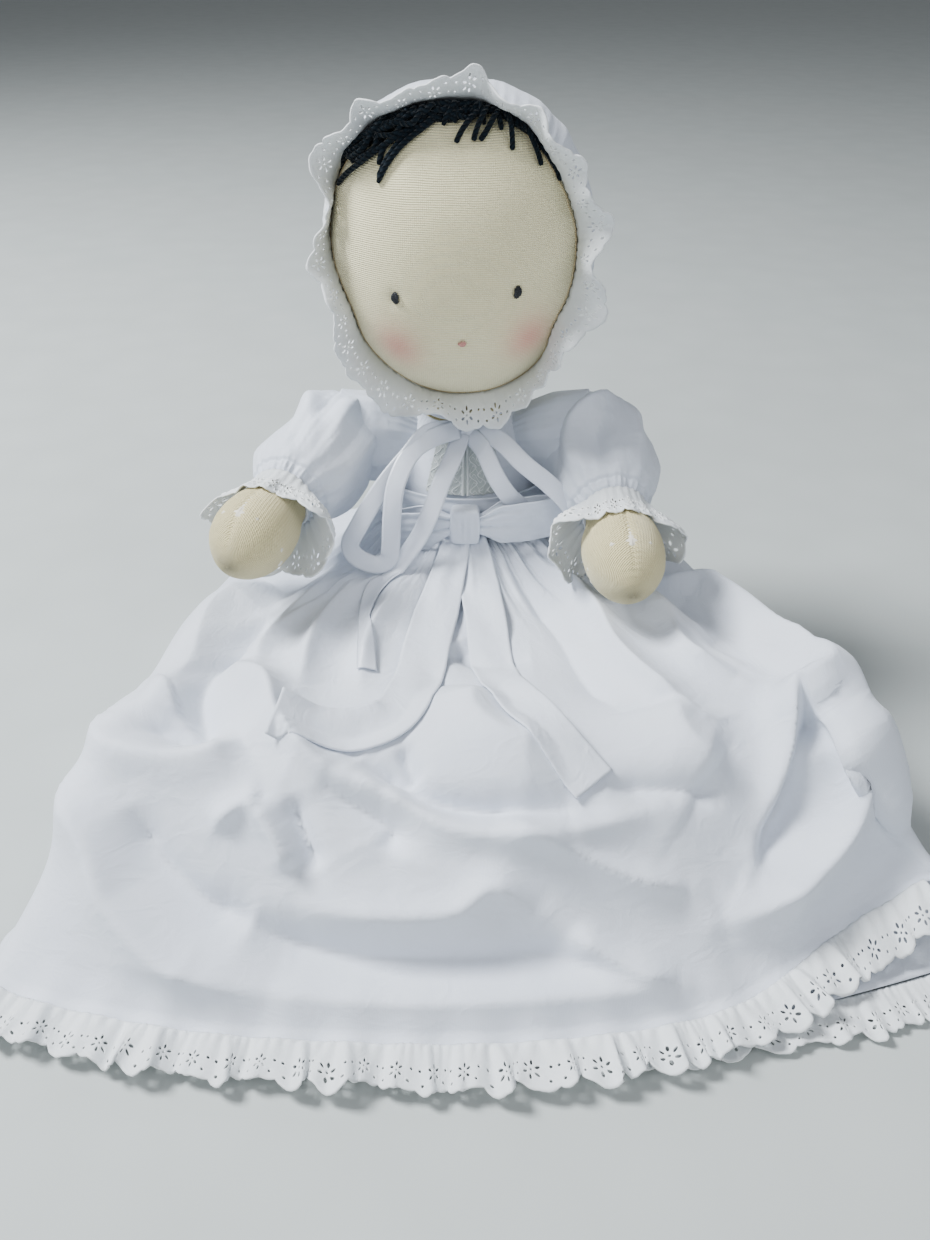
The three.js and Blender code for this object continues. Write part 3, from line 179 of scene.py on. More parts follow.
weave, given, out = group_tree(
    "plain_weave",
    [("Vector", "Vector", None), ("Threads", "Float", 2500.0), ("Slub", "Float", 0.3)],
    [("Height", "Float"), ("Shade", "Float")],
)
scale = calculate(weave, "DIVIDE", given["Threads"], WAVES_PER_UNIT)
warp = add_node(weave, "ShaderNodeTexWave", {"Vector": given["Vector"], "Scale": scale}, bands_direction="X")
weft = add_node(weave, "ShaderNodeTexWave", {"Vector": given["Vector"], "Scale": scale}, bands_direction="Y")
threads = calculate(weave, "MULTIPLY", warp.outputs["Fac"], weft.outputs["Fac"])
slub_place = add_node(weave, "ShaderNodeMapping", {"Vector": given["Vector"], "Scale": (60, 900, 1)})
slub = add_node(weave, "ShaderNodeTexNoise", {"Vector": slub_place.outputs[0], "Scale": 1.0, "Detail": 3.0})
slubs = calculate(weave, "MULTIPLY", slub.outputs["Fac"], given["Slub"])
join(weave, calculate(weave, "ADD", threads, slubs), out["Height"])
join(weave, calculate(weave, "SUBTRACT", 1.0, calculate(weave, "MULTIPLY", slubs, 0.4)), out["Shade"])
print("weave of", len(weave.nodes), "nodes")

# %% [markdown]
# Cotton lawn is never quite flat. Handling leaves soft shallow creases a few millimetres apart,
# and the tone changes a little from place to place. A noise folded at its middle gives the creases,
# because its lines are sharp and never repeat, and a slow noise gives the tone.

# %% The crease and tone group
creases, given, out = group_tree(
    "soft_creases",
    [("Vector", "Vector", None), ("Size", "Float", 0.012)],
    [("Height", "Float"), ("Tone", "Float")],
)
scale = calculate(creases, "DIVIDE", 1.0, given["Size"])
broad = add_node(
    creases, "ShaderNodeTexNoise",
    {"Vector": given["Vector"], "Scale": scale, "Detail": 4.0, "Roughness": 0.45, "Distortion": 0.6},
)
ridge = calculate(creases, "ABSOLUTE", calculate(creases, "SUBTRACT", broad.outputs["Fac"], 0.5))
join(creases, calculate(creases, "MULTIPLY", ridge, -2.0), out["Height"])
slow = add_node(creases, "ShaderNodeTexNoise", {"Vector": given["Vector"], "Scale": 14.0, "Detail": 2.0})
join(creases, slow.outputs["Fac"], out["Tone"])
print("creases of", len(creases.nodes), "nodes")

# %% [markdown]
# The doll's skin is a brushed knit. Its rows of loops show as fine lines about a millimetre apart,
# softened by the pile that stands on them. Waves make the rows, and a fine noise makes the pile.

# %% The knit group
knit, given, out = group_tree(
    "velour_knit",
    [("Vector", "Vector", None), ("Rows", "Float", 900.0), ("Pile", "Float", 0.8)],
    [("Height", "Float"), ("Shade", "Float")],
)
drift = add_node(knit, "ShaderNodeTexNoise", {"Vector": given["Vector"], "Scale": 60.0, "Detail": 1.0})
drift_size = (0.0012, 0.0012, 0.0012)
push = add_node(
    knit, "ShaderNodeVectorMath", {0: drift.outputs["Color"], 1: drift_size}, operation="MULTIPLY",
)
bent = add_node(knit, "ShaderNodeVectorMath", {0: given["Vector"], 1: push.outputs[0]}, operation="ADD")
scale = calculate(knit, "DIVIDE", given["Rows"], WAVES_PER_UNIT)
rows = add_node(knit, "ShaderNodeTexWave", {"Vector": bent.outputs[0], "Scale": scale}, bands_direction="Z")
wales = add_node(knit, "ShaderNodeTexWave", {"Vector": bent.outputs[0], "Scale": scale}, bands_direction="X")
pile = add_node(knit, "ShaderNodeTexNoise", {"Vector": given["Vector"], "Scale": 900.0, "Detail": 3.0})
loops = calculate(knit, "ADD", rows.outputs["Fac"], calculate(knit, "MULTIPLY", wales.outputs["Fac"], 0.35))
nap = calculate(knit, "MULTIPLY", pile.outputs["Fac"], given["Pile"])
join(knit, calculate(knit, "ADD", calculate(knit, "MULTIPLY", loops, 0.6), nap), out["Height"])
# The Shade output follows the loops and the pile. The colour is painted darker between the rows, as shade,
# and varies at random with the pile.
join(knit, calculate(knit, "MULTIPLY", calculate(knit, "ADD", loops, nap), 0.55), out["Shade"])
print("knit of", len(knit.nodes), "nodes")

# %% [markdown]
# Yarn, cord and sewing thread are twisted. A wave that runs slantwise round the strand shows the twist, and
# the colour is painted darker in the grooves between the plies, as shade.
# The strand's UV runs along it in metres, and round it from 0 to 1.

# %% The twist group
twist, given, out = group_tree(
    "twisted_strand",
    [("Vector", "Vector", None), ("Turns", "Float", 300.0), ("Fuzz", "Float", 0.4)],
    [("Height", "Float"), ("Shade", "Float")],
)
parts = add_node(twist, "ShaderNodeSeparateXYZ", {0: given["Vector"]}).outputs
turns_along = calculate(twist, "MULTIPLY", parts["X"], given["Turns"])
phase = calculate(twist, "ADD", turns_along, calculate(twist, "MULTIPLY", parts["Y"], 2.0))
ply = calculate(twist, "ABSOLUTE", calculate(twist, "SINE", calculate(twist, "MULTIPLY", phase, math.pi)))
hair_place = add_node(twist, "ShaderNodeMapping", {"Vector": given["Vector"], "Scale": (900, 14, 1)})
hairs = add_node(twist, "ShaderNodeTexNoise", {"Vector": hair_place.outputs[0], "Scale": 1.0, "Detail": 2.0})
fuzz = calculate(twist, "MULTIPLY", hairs.outputs["Fac"], given["Fuzz"])
join(twist, calculate(twist, "ADD", ply, fuzz), out["Height"])
# The Shade output follows the plies, so the colour is painted darker in the grooves between them, as shade.
# The fuzz adds a random tone.
join(twist, calculate(twist, "ADD", calculate(twist, "MULTIPLY", ply, 0.6), fuzz), out["Shade"])
print("twist of", len(twist.nodes), "nodes")

# %% [markdown]
# A finish is a Principled shader with its plain numbers on its own sockets, and a group for its detail.
# One function makes the frame of each: the colour runs between two tones, and the height goes to a bump.

# %% Finishes from a group
def group_node(tree, source, inputs):
    """One of the groups above, placed in a material."""
    node = tree.nodes.new("ShaderNodeGroup")
    node.node_tree = source
    for name, value in inputs.items():
        join(tree, value, node.inputs[name])
    return node


def mixed(tree, factor, first, second):
    """A colour between two, each a socket or three numbers."""
    inputs = {0: factor}
    for number, value in ((6, first), (7, second)):
        inputs[number] = value if isinstance(value, bpy.types.NodeSocket) else (*value, 1)
    return add_node(tree, "ShaderNodeMix", inputs, data_type="RGBA").outputs[2]


def finish(name, recipe, roughness, bump, **sockets):
    """A Principled material. recipe(tree) gives its colour and its height, and bump is the height's scale."""
    material = bpy.data.materials.new(name)
    material.use_nodes = True
    tree = material.node_tree
    shader = tree.nodes["Principled BSDF"]
    shader.inputs["Roughness"].default_value = roughness
    for socket, value in sockets.items():
        shader.inputs[socket.replace("_", " ")].default_value = value
    colour, height = recipe(tree)
    tree.links.new(colour, shader.inputs["Base Color"])
    relief = add_node(tree, "ShaderNodeBump", {"Height": height, "Distance": bump})
    tree.links.new(relief.outputs["Normal"], shader.inputs["Normal"])
    return material


def flat_place(tree):
    """The place on the cloth, in metres, from its UVs."""
    return tree.nodes.new("ShaderNodeTexCoord").outputs["UV"]


def solid_place(tree):
    """The place in the object's own space, in metres."""
    return tree.nodes.new("ShaderNodeTexCoord").outputs["Object"]


# %% [markdown]
# White cotton has a cool tone in its folds. Eyelet is a shade warmer, with whiter embroidery, and satin
# has a smooth face that catches the light. All share one recipe, so that only their numbers differ.

# %% The white cloths
def cotton_recipe(dark, light, threads=2400.0, crease_size=0.012, crease_share=0.6):
    """The recipe of a cotton with that many threads to the metre."""
    def recipe(tree):
        place = flat_place(tree)
        woven = group_node(tree, weave, {"Vector": place, "Threads": threads})
        worn = group_node(tree, creases, {"Vector": place, "Size": crease_size})
        tone = calculate(tree, "MULTIPLY", woven.outputs["Shade"], worn.outputs["Tone"])
        height = calculate(
            tree, "ADD",
            calculate(tree, "MULTIPLY", woven.outputs["Height"], 0.25),
            calculate(tree, "MULTIPLY", worn.outputs["Height"], crease_share * 4),
        )
        return mixed(tree, tone, dark, light), height
    return recipe


def embroidered_recipe(dark, light, thread):
    """The recipe of eyelet: cotton, with whiter thread where the mesh says that it is embroidered."""
    def recipe(tree):
        colour, height = cotton_recipe(dark, light, 2200.0, 0.008, 0.4)(tree)
        raised = tree.nodes.new("ShaderNodeAttribute")
        raised.attribute_name = "raised"
        return mixed(tree, raised.outputs["Fac"], colour, thread), height
    return recipe


lawn = finish(
    "cotton_lawn", cotton_recipe((0.65, 0.69, 0.765), (0.785, 0.815, 0.875)), 0.85, 0.0002,
    Sheen_Weight=0.25, Sheen_Roughness=0.4,
)
eyelet_recipe = embroidered_recipe((0.66, 0.69, 0.71), (0.79, 0.81, 0.815), (0.92, 0.93, 0.92))
eyelet = finish("eyelet_trim", eyelet_recipe, 0.85, 0.00015, Sheen_Weight=0.2)
lace_recipe = embroidered_recipe((0.42, 0.46, 0.45), (0.62, 0.65, 0.63), (0.84, 0.86, 0.85))
lace = finish("cotton_lace", lace_recipe, 0.85, 0.0002, Sheen_Weight=0.2)
satin = finish(
    "satin_ribbon", cotton_recipe((0.64, 0.68, 0.76), (0.76, 0.79, 0.86), 4200.0, 0.02, 0.25), 0.26, 0.0001,
    Specular_IOR_Level=0.9, Anisotropic=0.6, Sheen_Weight=0.15,
)
print("white cloths made")

# %% [markdown]
# The velour is cream, painted a little darker between its rows as shade. The face has a soft pink blush on
# each cheek:
# a mask that fades with the distance from two places on the head.

# %% Velour and its blush
soft_spot, given, out = group_tree(
    "soft_spot",
    [("Vector", "Vector", None), ("Middle", "Vector", None), ("Size", "Float", 0.02)],
    [("Mask", "Float")],
)
distance = add_node(
    soft_spot, "ShaderNodeVectorMath", {0: given["Vector"], 1: given["Middle"]}, operation="DISTANCE",
).outputs["Value"]
share = calculate(soft_spot, "DIVIDE", distance, given["Size"])
falling = calculate(soft_spot, "MULTIPLY", calculate(soft_spot, "POWER", share, 2.0), -1.0)
join(soft_spot, calculate(soft_spot, "EXPONENT", falling), out["Mask"])


def velour_recipe(dark, light, rows=900.0, spots=(), blush=(0.80, 0.50, 0.40), place=solid_place):
    """The recipe of brushed knit. spots are (middle, size, strength) of each blush."""
    def recipe(tree):
        knitted = group_node(tree, knit, {"Vector": place(tree), "Rows": rows})
        # The colour runs from the dark to the light tone with the knit's height: painted shade between the
        # rows.
        colour = mixed(tree, knitted.outputs["Shade"], dark, light)
        for middle, size, strength in spots:
            spot = group_node(tree, soft_spot, {"Vector": solid_place(tree), "Middle": middle, "Size": size})
            colour = mixed(tree, calculate(tree, "MULTIPLY", spot.outputs["Mask"], strength), colour, blush)
        return colour, knitted.outputs["Height"]
    return recipe


# The dark tone is the painted shade between the rows, and the light one is the tops of the rows.
cream_dark = (0.76, 0.68, 0.42)
cream_light = (0.94, 0.89, 0.63)
velour = finish("velour", velour_recipe(cream_dark, cream_light), 0.95, 0.0004, Sheen_Weight=0.5)
print("velour made")

# %% [markdown]
# Yarn, thread, twine and the elastic's cover share the twist, with their own colours and turns.
# Stuffing, muslin, pellets and buttons have plain finishes, because they stay inside.

# %% Strands and inner pieces
def strand_recipe(dark, light, turns):
    """The recipe of a twisted strand with that many plies to the metre."""
    def recipe(tree):
        twisted = group_node(tree, twist, {"Vector": flat_place(tree), "Turns": turns})
        # The colour runs from the dark to the light tone with the plies: painted shade in the grooves between
        # them.
        return mixed(tree, twisted.outputs["Shade"], dark, light), twisted.outputs["Height"]
    return recipe


def clumped_recipe(dark, light, size):
    """The recipe of a mass of small clumps, such as wool or packed pellets, with painted shade in the gaps
    between them.
    """
    def recipe(tree):
        cells = add_node(tree, "ShaderNodeTexVoronoi", {"Vector": solid_place(tree), "Scale": 1 / size})
        near = cells.outputs["Distance"]
        # Each clump is lighter at its middle and darker at its edge, where it meets the next one and lies
        # lowest: painted shade in the gaps.
        return mixed(tree, near, light, dark), calculate(tree, "MULTIPLY", near, -1.0)
    return recipe


yarn = finish(
    "yarn", strand_recipe((0.002, 0.004, 0.007), (0.014, 0.024, 0.034), 330.0), 0.95, 0.0007,
    Sheen_Weight=0.12, Sheen_Roughness=0.5, Specular_IOR_Level=0.2,
)
thread_turns = 900.0
thread_tones = [
    # name, dark and light tone, roughness
    ("black_thread", (0.006, 0.007, 0.009), (0.05, 0.055, 0.065), 0.5),
    ("pink_thread", (0.52, 0.24, 0.21), (0.78, 0.45, 0.40), 0.55),
    ("tan_thread", (0.50, 0.39, 0.22), (0.76, 0.65, 0.44), 0.7),
]
black_thread, pink_thread, tan_thread = (
    finish(name, strand_recipe(dark, light, thread_turns), roughness, 0.0002)
    for name, dark, light, roughness in thread_tones
)
twine = finish("twine", strand_recipe((0.40, 0.34, 0.24), (0.72, 0.66, 0.52), 500.0), 0.8, 0.0003)
elastic = finish("elastic_cord", strand_recipe((0.66, 0.69, 0.78), (0.84, 0.86, 0.92), 700.0), 0.75, 0.0003)
stuffing = finish("wool_stuffing", clumped_recipe((0.62, 0.58, 0.48), (0.88, 0.85, 0.76), 0.004), 1.0, 0.001)
muslin = finish("muslin", cotton_recipe((0.58, 0.55, 0.47), (0.80, 0.77, 0.69), 1300.0), 0.9, 0.0003)
pellets = finish("glass_pellets", clumped_recipe((0.42, 0.47, 0.46), (0.78, 0.83, 0.82), 0.0025), 0.2, 0.001)
button = finish("button", clumped_recipe((0.78, 0.77, 0.74), (0.86, 0.85, 0.82), 0.02), 0.25, 0.0001)
print(len(bpy.data.materials), "materials")

# %% [markdown]
# Cloth is built on grids. A grid has its columns across the cloth and its rows down it, in millimetres.
# The first tools make shares from 0 to 1 over a grid, and give the grid's own slopes and outward side.

# %% Grids
def grid_of(columns, rows):
    """Shares from 0 to 1 across and down a grid."""
    return np.meshgrid(np.linspace(0, 1, columns), np.linspace(0, 1, rows), indexing="ij")


def ring_grid(columns, rows):
    """Shares round and down a grid that closes on itself, so its last column stops short of 1."""
    round_share, down_share = grid_of(columns, rows)
    return round_share * (columns - 1) / columns, down_share


def between(first, second, share):
    """A value between two, by a share that may be an array."""
    return first + (second - first) * share


def ball(turn, tilt):
    """The directions on a ball, by the turn round it and the tilt from its top."""
    return np.stack([np.sin(tilt) * np.cos(turn), np.sin(tilt) * np.sin(turn), np.cos(tilt)], -1)


def bell(place):
    """A smooth rise and fall: 1 at place 0, and next to nothing beyond 2."""
    return np.exp(-(place**2))


def unit(vectors):
    """The same directions with a length of one."""
    return vectors / np.maximum(np.linalg.norm(vectors, axis=-1, keepdims=True), 1e-9)


def outward_of(points, wrapped=False):
    """The outward direction at each point of a grid: across the cloth, then down it, by the right hand."""
    if wrapped:
        across = np.roll(points, -1, axis=0) - np.roll(points, 1, axis=0)
    else:
        across = np.gradient(points, axis=0)
    return unit(np.cross(across, np.gradient(points, axis=1)))


def smooth_curve(points, count):
    """Evenly spread points on a smooth curve through a few points."""
    points = np.array(points, float)
    points = np.concatenate([[2 * points[0] - points[1]], points, [2 * points[-1] - points[-2]]])
    spans = len(points) - 3
    place = np.linspace(0, spans, count)
    span = np.minimum(place.astype(int), spans - 1)
    t = (place - span)[:, None]
    a, b, c, d = (points[span + step] for step in range(4))
    return (2 * b + (c - a) * t + (2 * a - 5 * b + 4 * c - d) * t**2 + (3 * b - a - 3 * c + d) * t**3) / 2


# %% [markdown]
# Two layers of a grid and a rim between them make a cloth of even thickness, closed all round, because
# a single layer has no edge to see. Its UVs are its flat sizes in metres, so that threads keep their size.

# %% Meshes
def lengths_of(points):
    """The running mean length across a grid and down it."""
    across = np.linalg.norm(np.diff(points, axis=0), axis=2).mean(1)
    down = np.linalg.norm(np.diff(points, axis=1), axis=2).mean(0)
    return np.concatenate([[0], np.cumsum(across)]), np.concatenate([[0], np.cumsum(down)])


def grid_faces(columns, rows, spans):
    """The corners of each face of a grid, by point, and again by column and row."""
    i, j = (part.ravel() for part in np.meshgrid(np.arange(spans), np.arange(rows - 1), indexing="ij"))
    k = (i + 1) % columns
    points = np.stack([i * rows + j, k * rows + j, k * rows + j + 1, i * rows + j + 1], -1)
    return points, np.stack([i, i + 1, i + 1, i], -1), np.stack([j, j, j + 1, j + 1], -1)


def mesh_piece(name, points, faces, uvs, material, body, raised=None):
    """A smooth mesh from points in mm, faces, and a flat place in mm for each corner of each face."""
    mesh = bpy.data.meshes.new(name)
    mesh.from_pydata((np.asarray(points) * mm).tolist(), [], [list(map(int, face)) for face in faces])
    layer = mesh.uv_layers.new(name="flat")
    layer.data.foreach_set("uv", (np.asarray(uvs, float) * mm).ravel())
    mesh.shade_smooth()
    if raised is not None:
        attribute = mesh.attributes.new("raised", "FLOAT", "POINT")
        attribute.data.foreach_set("value", np.asarray(raised, np.float32))
    mesh.materials.append(material)
    piece = bpy.data.objects.new(name, mesh)
    bpy.context.scene.collection.objects.link(piece)
    if body:
        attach(piece, body)
    return piece


def cloth(name, outer, thickness, material, body=None, wrapped=False, raised=None):
    """A cloth whose outer face is a grid of points in mm."""
    columns, rows = outer.shape[:2]
    inner = outer - outward_of(outer, wrapped) * thickness
    spans = columns if wrapped else columns - 1
    count = columns * rows
    outside, column_of, row_of = grid_faces(columns, rows, spans)
    inside = outside[:, ::-1] + count
    closed = np.concatenate([outer, outer[:1]]) if wrapped else outer
    across, down = lengths_of(closed)
    place = np.stack([across[column_of], down[row_of]], -1)
    faces, places = [outside, inside], [place, place[:, ::-1]]

    def add_rim(edge, x, y, turned):
        """The faces between the two layers along an edge of the grid."""
        spots = np.stack(np.broadcast_arrays(x, y), -1)
        rim = np.stack([edge[:-1], edge[1:], edge[1:] + count, edge[:-1] + count], -1)
        spot = np.stack([spots[:-1], spots[1:], spots[1:], spots[:-1]], 1)
        faces.append(rim[:, ::-1] if turned else rim)
        places.append(spot[:, ::-1] if turned else spot)

    for row, turned in ((0, True), (rows - 1, False)):
        add_rim(np.arange(spans + 1) % columns * rows + row, across, down[row], turned)
    if not wrapped:
        for column, turned in ((0, False), (columns - 1, True)):
            add_rim(column * rows + np.arange(rows), across[column], down, turned)
    if raised is not None:
        raised = np.concatenate([raised.ravel(), np.zeros(count)])
    points = np.concatenate([outer.reshape(-1, 3), inner.reshape(-1, 3)])
    places = np.concatenate(places).reshape(-1, 2)
    return mesh_piece(name, points, np.concatenate(faces), places, material, body, raised)


# %% Round strands
strand_end_share = 0.6


def strands(name, paths, radius, material, sides=7):
    """Round strands along paths, thinner at their ends, joined in one mesh that rides on the head."""
    points, faces, uvs = [], [], []
    for path in paths:
        path = np.asarray(path, float)
        along = unit(np.gradient(path, axis=0))
        side = unit(np.cross(along, np.array([0.3, -0.9, 0.35])))
        other = np.cross(side, along)
        thin = np.ones(len(path))
        thin[[0, -1]] = strand_end_share
        turn = 2 * np.pi * np.arange(sides) / sides
        ring = np.cos(turn)[None, :, None] * side[:, None] + np.sin(turn)[None, :, None] * other[:, None]
        start = sum(len(part) for part in points)
        points.append((path[:, None] + radius * thin[:, None, None] * ring).reshape(-1, 3))
        length = np.concatenate([[0], np.cumsum(np.linalg.norm(np.diff(path, axis=0), axis=1))])
        for i in range(len(path) - 1):
            for j in range(sides):
                corners = [(i, j), (i, j + 1), (i + 1, j + 1), (i + 1, j)]
                faces.append([start + row * sides + column % sides for row, column in corners])
                uvs += [(length[row], column / sides / mm) for row, column in corners]
        for i, order in ((0, -1), (len(path) - 1, 1)):
            faces.append([start + i * sides + j for j in range(sides)][::order])
            uvs += [(length[i], 0)] * sides
    return mesh_piece(name, np.concatenate(points), faces, uvs, material, "head")


print("tools ready")

# %% [markdown]
# The torso leans back a little, and the gown fits round it. The sizes are the CAD part's own, so that
# every cloth lies where its solid does.

# %% The doll's own sizes
cloth_thickness = 1.6
seam_gap = 0.4
signs = {"right": -1, "left": 1}
torso_floor = cloth_thickness + seam_gap
torso_height = 172
torso_top = torso_floor + torso_height
seat_half_width = 56
seat_half_depth = 46
lean = math.radians(7)
torso_height_shares = [0, 0.05, 0.1, 0.17, 0.32, 0.5, 0.66, 0.8, 0.89, 0.94, 0.97, 1]
torso_width_shares = [0.6, 0.84, 0.93, 0.99, 1, 0.9, 0.76, 0.66, 0.58, 0.45, 0.25, 0.25]


def torso_back(height):
    """How far back the middle of the torso is at a height."""
    return (height - torso_floor) * math.tan(lean)


neck_middle = np.array([0, torso_back(torso_top), torso_top + 25])
bodice_height = 57
waist_height = torso_top - 7 - bodice_height
waist_share = np.interp((waist_height - torso_floor) / torso_height, torso_height_shares, torso_width_shares)
waist_half_width = seat_half_width * waist_share + 4
waist_half_depth = seat_half_depth * waist_share + 6.8
bodice_width_shares = [1, 0.93, 0.84, 0.77, 0.68, 0.52]
bodice_depth_shares = [1, 0.98, 0.93, 0.85, 0.75, 0.59]
bodice_seam_angle = math.radians(92)
sash_width = 24
sash_drop = 2


def bodice_point(angle, share, stand=0):
    """A point on the bodice. The angle runs from the middle of the front towards the left arm."""
    angle, share = np.broadcast_arrays(np.asarray(angle, float), np.asarray(share, float))
    steps = np.linspace(0, 1, len(bodice_width_shares))
    half_width = waist_half_width * np.interp(share, steps, bodice_width_shares) + stand
    half_depth = waist_half_depth * np.interp(share, steps, bodice_depth_shares) + stand
    height = waist_height + bodice_height * share
    return np.stack([
        half_width * np.sin(angle), torso_back(height) - half_depth * np.cos(angle), height,
    ], -1)


print("waist", round(waist_height), "mm up,", round(2 * waist_half_width), "mm wide")

# %% [markdown]
# The head is a stuffed ball of velour, wider than it is deep, with a jaw that narrows a little.
# Its power, a little over a ball's 2, fills the cheeks. An angle from the middle of the face and a clock
# angle round it give a direction, and so a point.

# %% The head's form
head_half = np.array([69, 64, 78])
head_power = 2.25
jaw_taper_share = 0.16
head_middle = np.array([0, -2, 60.2])
head_roll = math.radians(-2.6)
head_turn = np.array(Matrix.Rotation(head_roll, 3, "Y"))


def head_point(directions, stand=0):
    """The point of the head in each direction, in the row frame."""
    directions = unit(np.asarray(directions, float))
    jaw = 1 - jaw_taper_share * np.maximum(0, -directions[..., 2:]) ** 2
    half = head_half * np.concatenate([jaw, np.ones_like(jaw), np.ones_like(jaw)], -1)
    reach = (np.abs(directions / half) ** head_power).sum(-1, keepdims=True) ** (-1 / head_power)
    local = directions * (reach + np.asarray(stand, float)[..., None]) + head_middle
    return local @ head_turn.T + neck_middle


def face_point(angle, clock, stand=0):
    """A point by its angle from the middle of the face, and its clock angle from crown to left ear."""
    angle, clock, stand = np.broadcast_arrays(*(np.asarray(value, float) for value in (angle, clock, stand)))
    angle, clock = np.radians(angle), np.radians(clock)
    direction = np.stack([np.sin(angle) * np.sin(clock), -np.cos(angle), np.sin(angle) * np.cos(clock)], -1)
    return head_point(direction, stand)


def closed_form(name, rings, material, body=None):
    """A closed stuffed form from rings of points in mm, each ring a row of the grid."""
    columns, rows = rings.shape[:2]
    faces, column_of, row_of = grid_faces(columns, rows, columns)
    faces = faces.tolist()
    across, down = lengths_of(np.concatenate([rings, rings[:1]]))
    places = np.stack([across[column_of], down[row_of]], -1).reshape(-1, 2).tolist()
    points = np.concatenate([rings.reshape(-1, 3), rings[:, :1].mean(0), rings[:, -1:].mean(0)])
    for row, end, turned in ((0, len(points) - 2, False), (rows - 1, len(points) - 1, True)):
        for column in range(columns):
            corner = [column * rows + row, end, (column + 1) % columns * rows + row]
            faces.append(corner[::-1] if turned else corner)
            places += [(across[column], down[row])] * 3
    return mesh_piece(name, points, faces, places, material, body)


# %% [markdown]
# The stitches of the eyes and the mouth pull the velour in, so each sits in a shallow dimple.
# A dimple is a push inward that fades with distance. The blush lies below and outside the eyes.

# %% The head
eye_places = {"right": (30.5, -107), "left": (26.7, 108)}
mouth_place = (30.2, -179.5)
cheek_places = {"right": (45, -137.5), "left": (44, 136)}
dimple_size = 4.2
dimple_depths = {"eye": 1.1, "mouth": 0.9}
head_columns, head_rows = 160, 120

turn, tilt = ring_grid(head_columns, head_rows)
head_surface = head_point(ball(2 * np.pi * turn, np.pi * (0.006 + 0.988 * tilt)))
dimples = [(eye_places["right"], "eye"), (eye_places["left"], "eye"), (mouth_place, "mouth")]
for (angle, clock), kind in dimples:
    away = np.linalg.norm(head_surface - face_point(angle, clock), axis=-1)
    pull = dimple_depths[kind] * bell(away / dimple_size)
    head_surface -= pull[..., None] * outward_of(head_surface[::-1], True)[::-1]

blush_size = 0.0125
blush_share = 0.8
blush_colour = (0.80, 0.38, 0.30)
face_rows = 980.0
cheeks = [
    (tuple(face_point(*place) * mm), blush_size, blush_share) for place in cheek_places.values()
]
face_recipe = velour_recipe(cream_dark, cream_light, face_rows, cheeks, blush_colour)
face_velour = finish("face_velour", face_recipe, 0.95, 0.0006, Sheen_Weight=0.5)
head_piece = closed_form("head_velour", head_surface[::-1], face_velour, "head")
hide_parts("head_skin")
print("head", [round(size, 3) for size in head_piece.dimensions])

# %% [markdown]
# Each eye is a few short black stitches, side by side. The mouth is a small pink stitch.
# A fine thread holds the edge of the bonnet to the face. All are thin tubes, because real thread stands
# up from the velour.

# %% Face stitches
def stitches(place, count, spacing, length, turn):
    """Short parallel stitches over a place on the face, longer in the middle."""
    angle, clock = place
    middle = face_point(angle, clock, 0.1)
    out = unit(middle - (head_middle @ head_turn.T + neck_middle))
    side = unit(np.cross(out, [0, 0, 1]))
    rise = np.cross(side, out)
    side, rise = side * math.cos(turn) + rise * math.sin(turn), rise * math.cos(turn) - side * math.sin(turn)
    paths = []
    for i in range(count):
        across = (i - (count - 1) / 2) * spacing
        half = length / 2 * math.sqrt(max(0.2, 1 - (2 * across / (count * spacing)) ** 2))
        steps = np.linspace(-1, 1, 9)[:, None]
        bow = (1 - steps**2) * 1.1 - 0.6
        paths.append(middle + side * across + rise * half * steps + out * bow)
    return paths


for side in signs:
    eye = strands(
        side + "_eye_stitches", stitches(eye_places[side], 5, 0.78, 6.6, 0.08), 0.5,
        black_thread,
    )
    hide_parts(side + "_eye")
mouth = strands(
    "mouth_stitches",
    stitches(mouth_place, 3, 1.0, 4.6, 1.25) + stitches(mouth_place, 2, 1.6, 3.0, 0.4), 0.4,
    pink_thread,
)
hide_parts("mouth_stitch")

bonnet_edge_places = [
    # clock angle round the face, and the angle at which the bonnet's edge lies there
    (-165, 71), (-138, 71), (-128, 68), (-116, 60), (-104, 60), (-94, 66), (-84, 73), (-74, 77), (-60, 77),
    (-44, 75), (-30, 72), (-10, 70), (15, 69), (28, 66), (40, 62), (52, 60), (80, 60), (92, 58), (104, 56),
    (118, 53), (127, 53), (136, 60), (147, 69), (160, 71),
]


def round_the_face(places, clock, softness=4.0):
    """A value that changes softly round the face, from places of clock angle and value."""
    fine = np.arange(-180, 180)
    clocks, values = np.array(places, float).T
    line = np.interp(fine, clocks, values, period=360)
    weights = np.exp(-0.5 * (np.arange(-20, 21) / softness) ** 2)
    line = np.convolve(np.concatenate([line[-20:], line, line[:20]]), weights / weights.sum(), "valid")
    return np.interp(clock, fine, line, period=360)


def bonnet_edge(clock):
    """The angle from the middle of the face at which the bonnet ends."""
    return round_the_face(bonnet_edge_places, clock)


clocks = np.linspace(-180, 180, 361)
uneven = np.convolve(rng.normal(0, 1, 361 + 6), np.ones(7) / 7, "valid")
edge_line = face_point(bonnet_edge(clocks) - 1.2 + 0.6 * uneven, clocks, 0.25)
strands("face_edge_thread", [edge_line[:-1]], 0.25, tan_thread, sides=5)
print("stitches made")

# %% [markdown]
# The hair is a tuft of blue-black yarn, caught under the top of the bonnet. Most strands sweep towards
# the doll's right. Loose ends fall on the forehead, and one bunch follows the bonnet to the left. Each
# strand is a tube through four places, given by angles on the head so that it keeps to its curve.

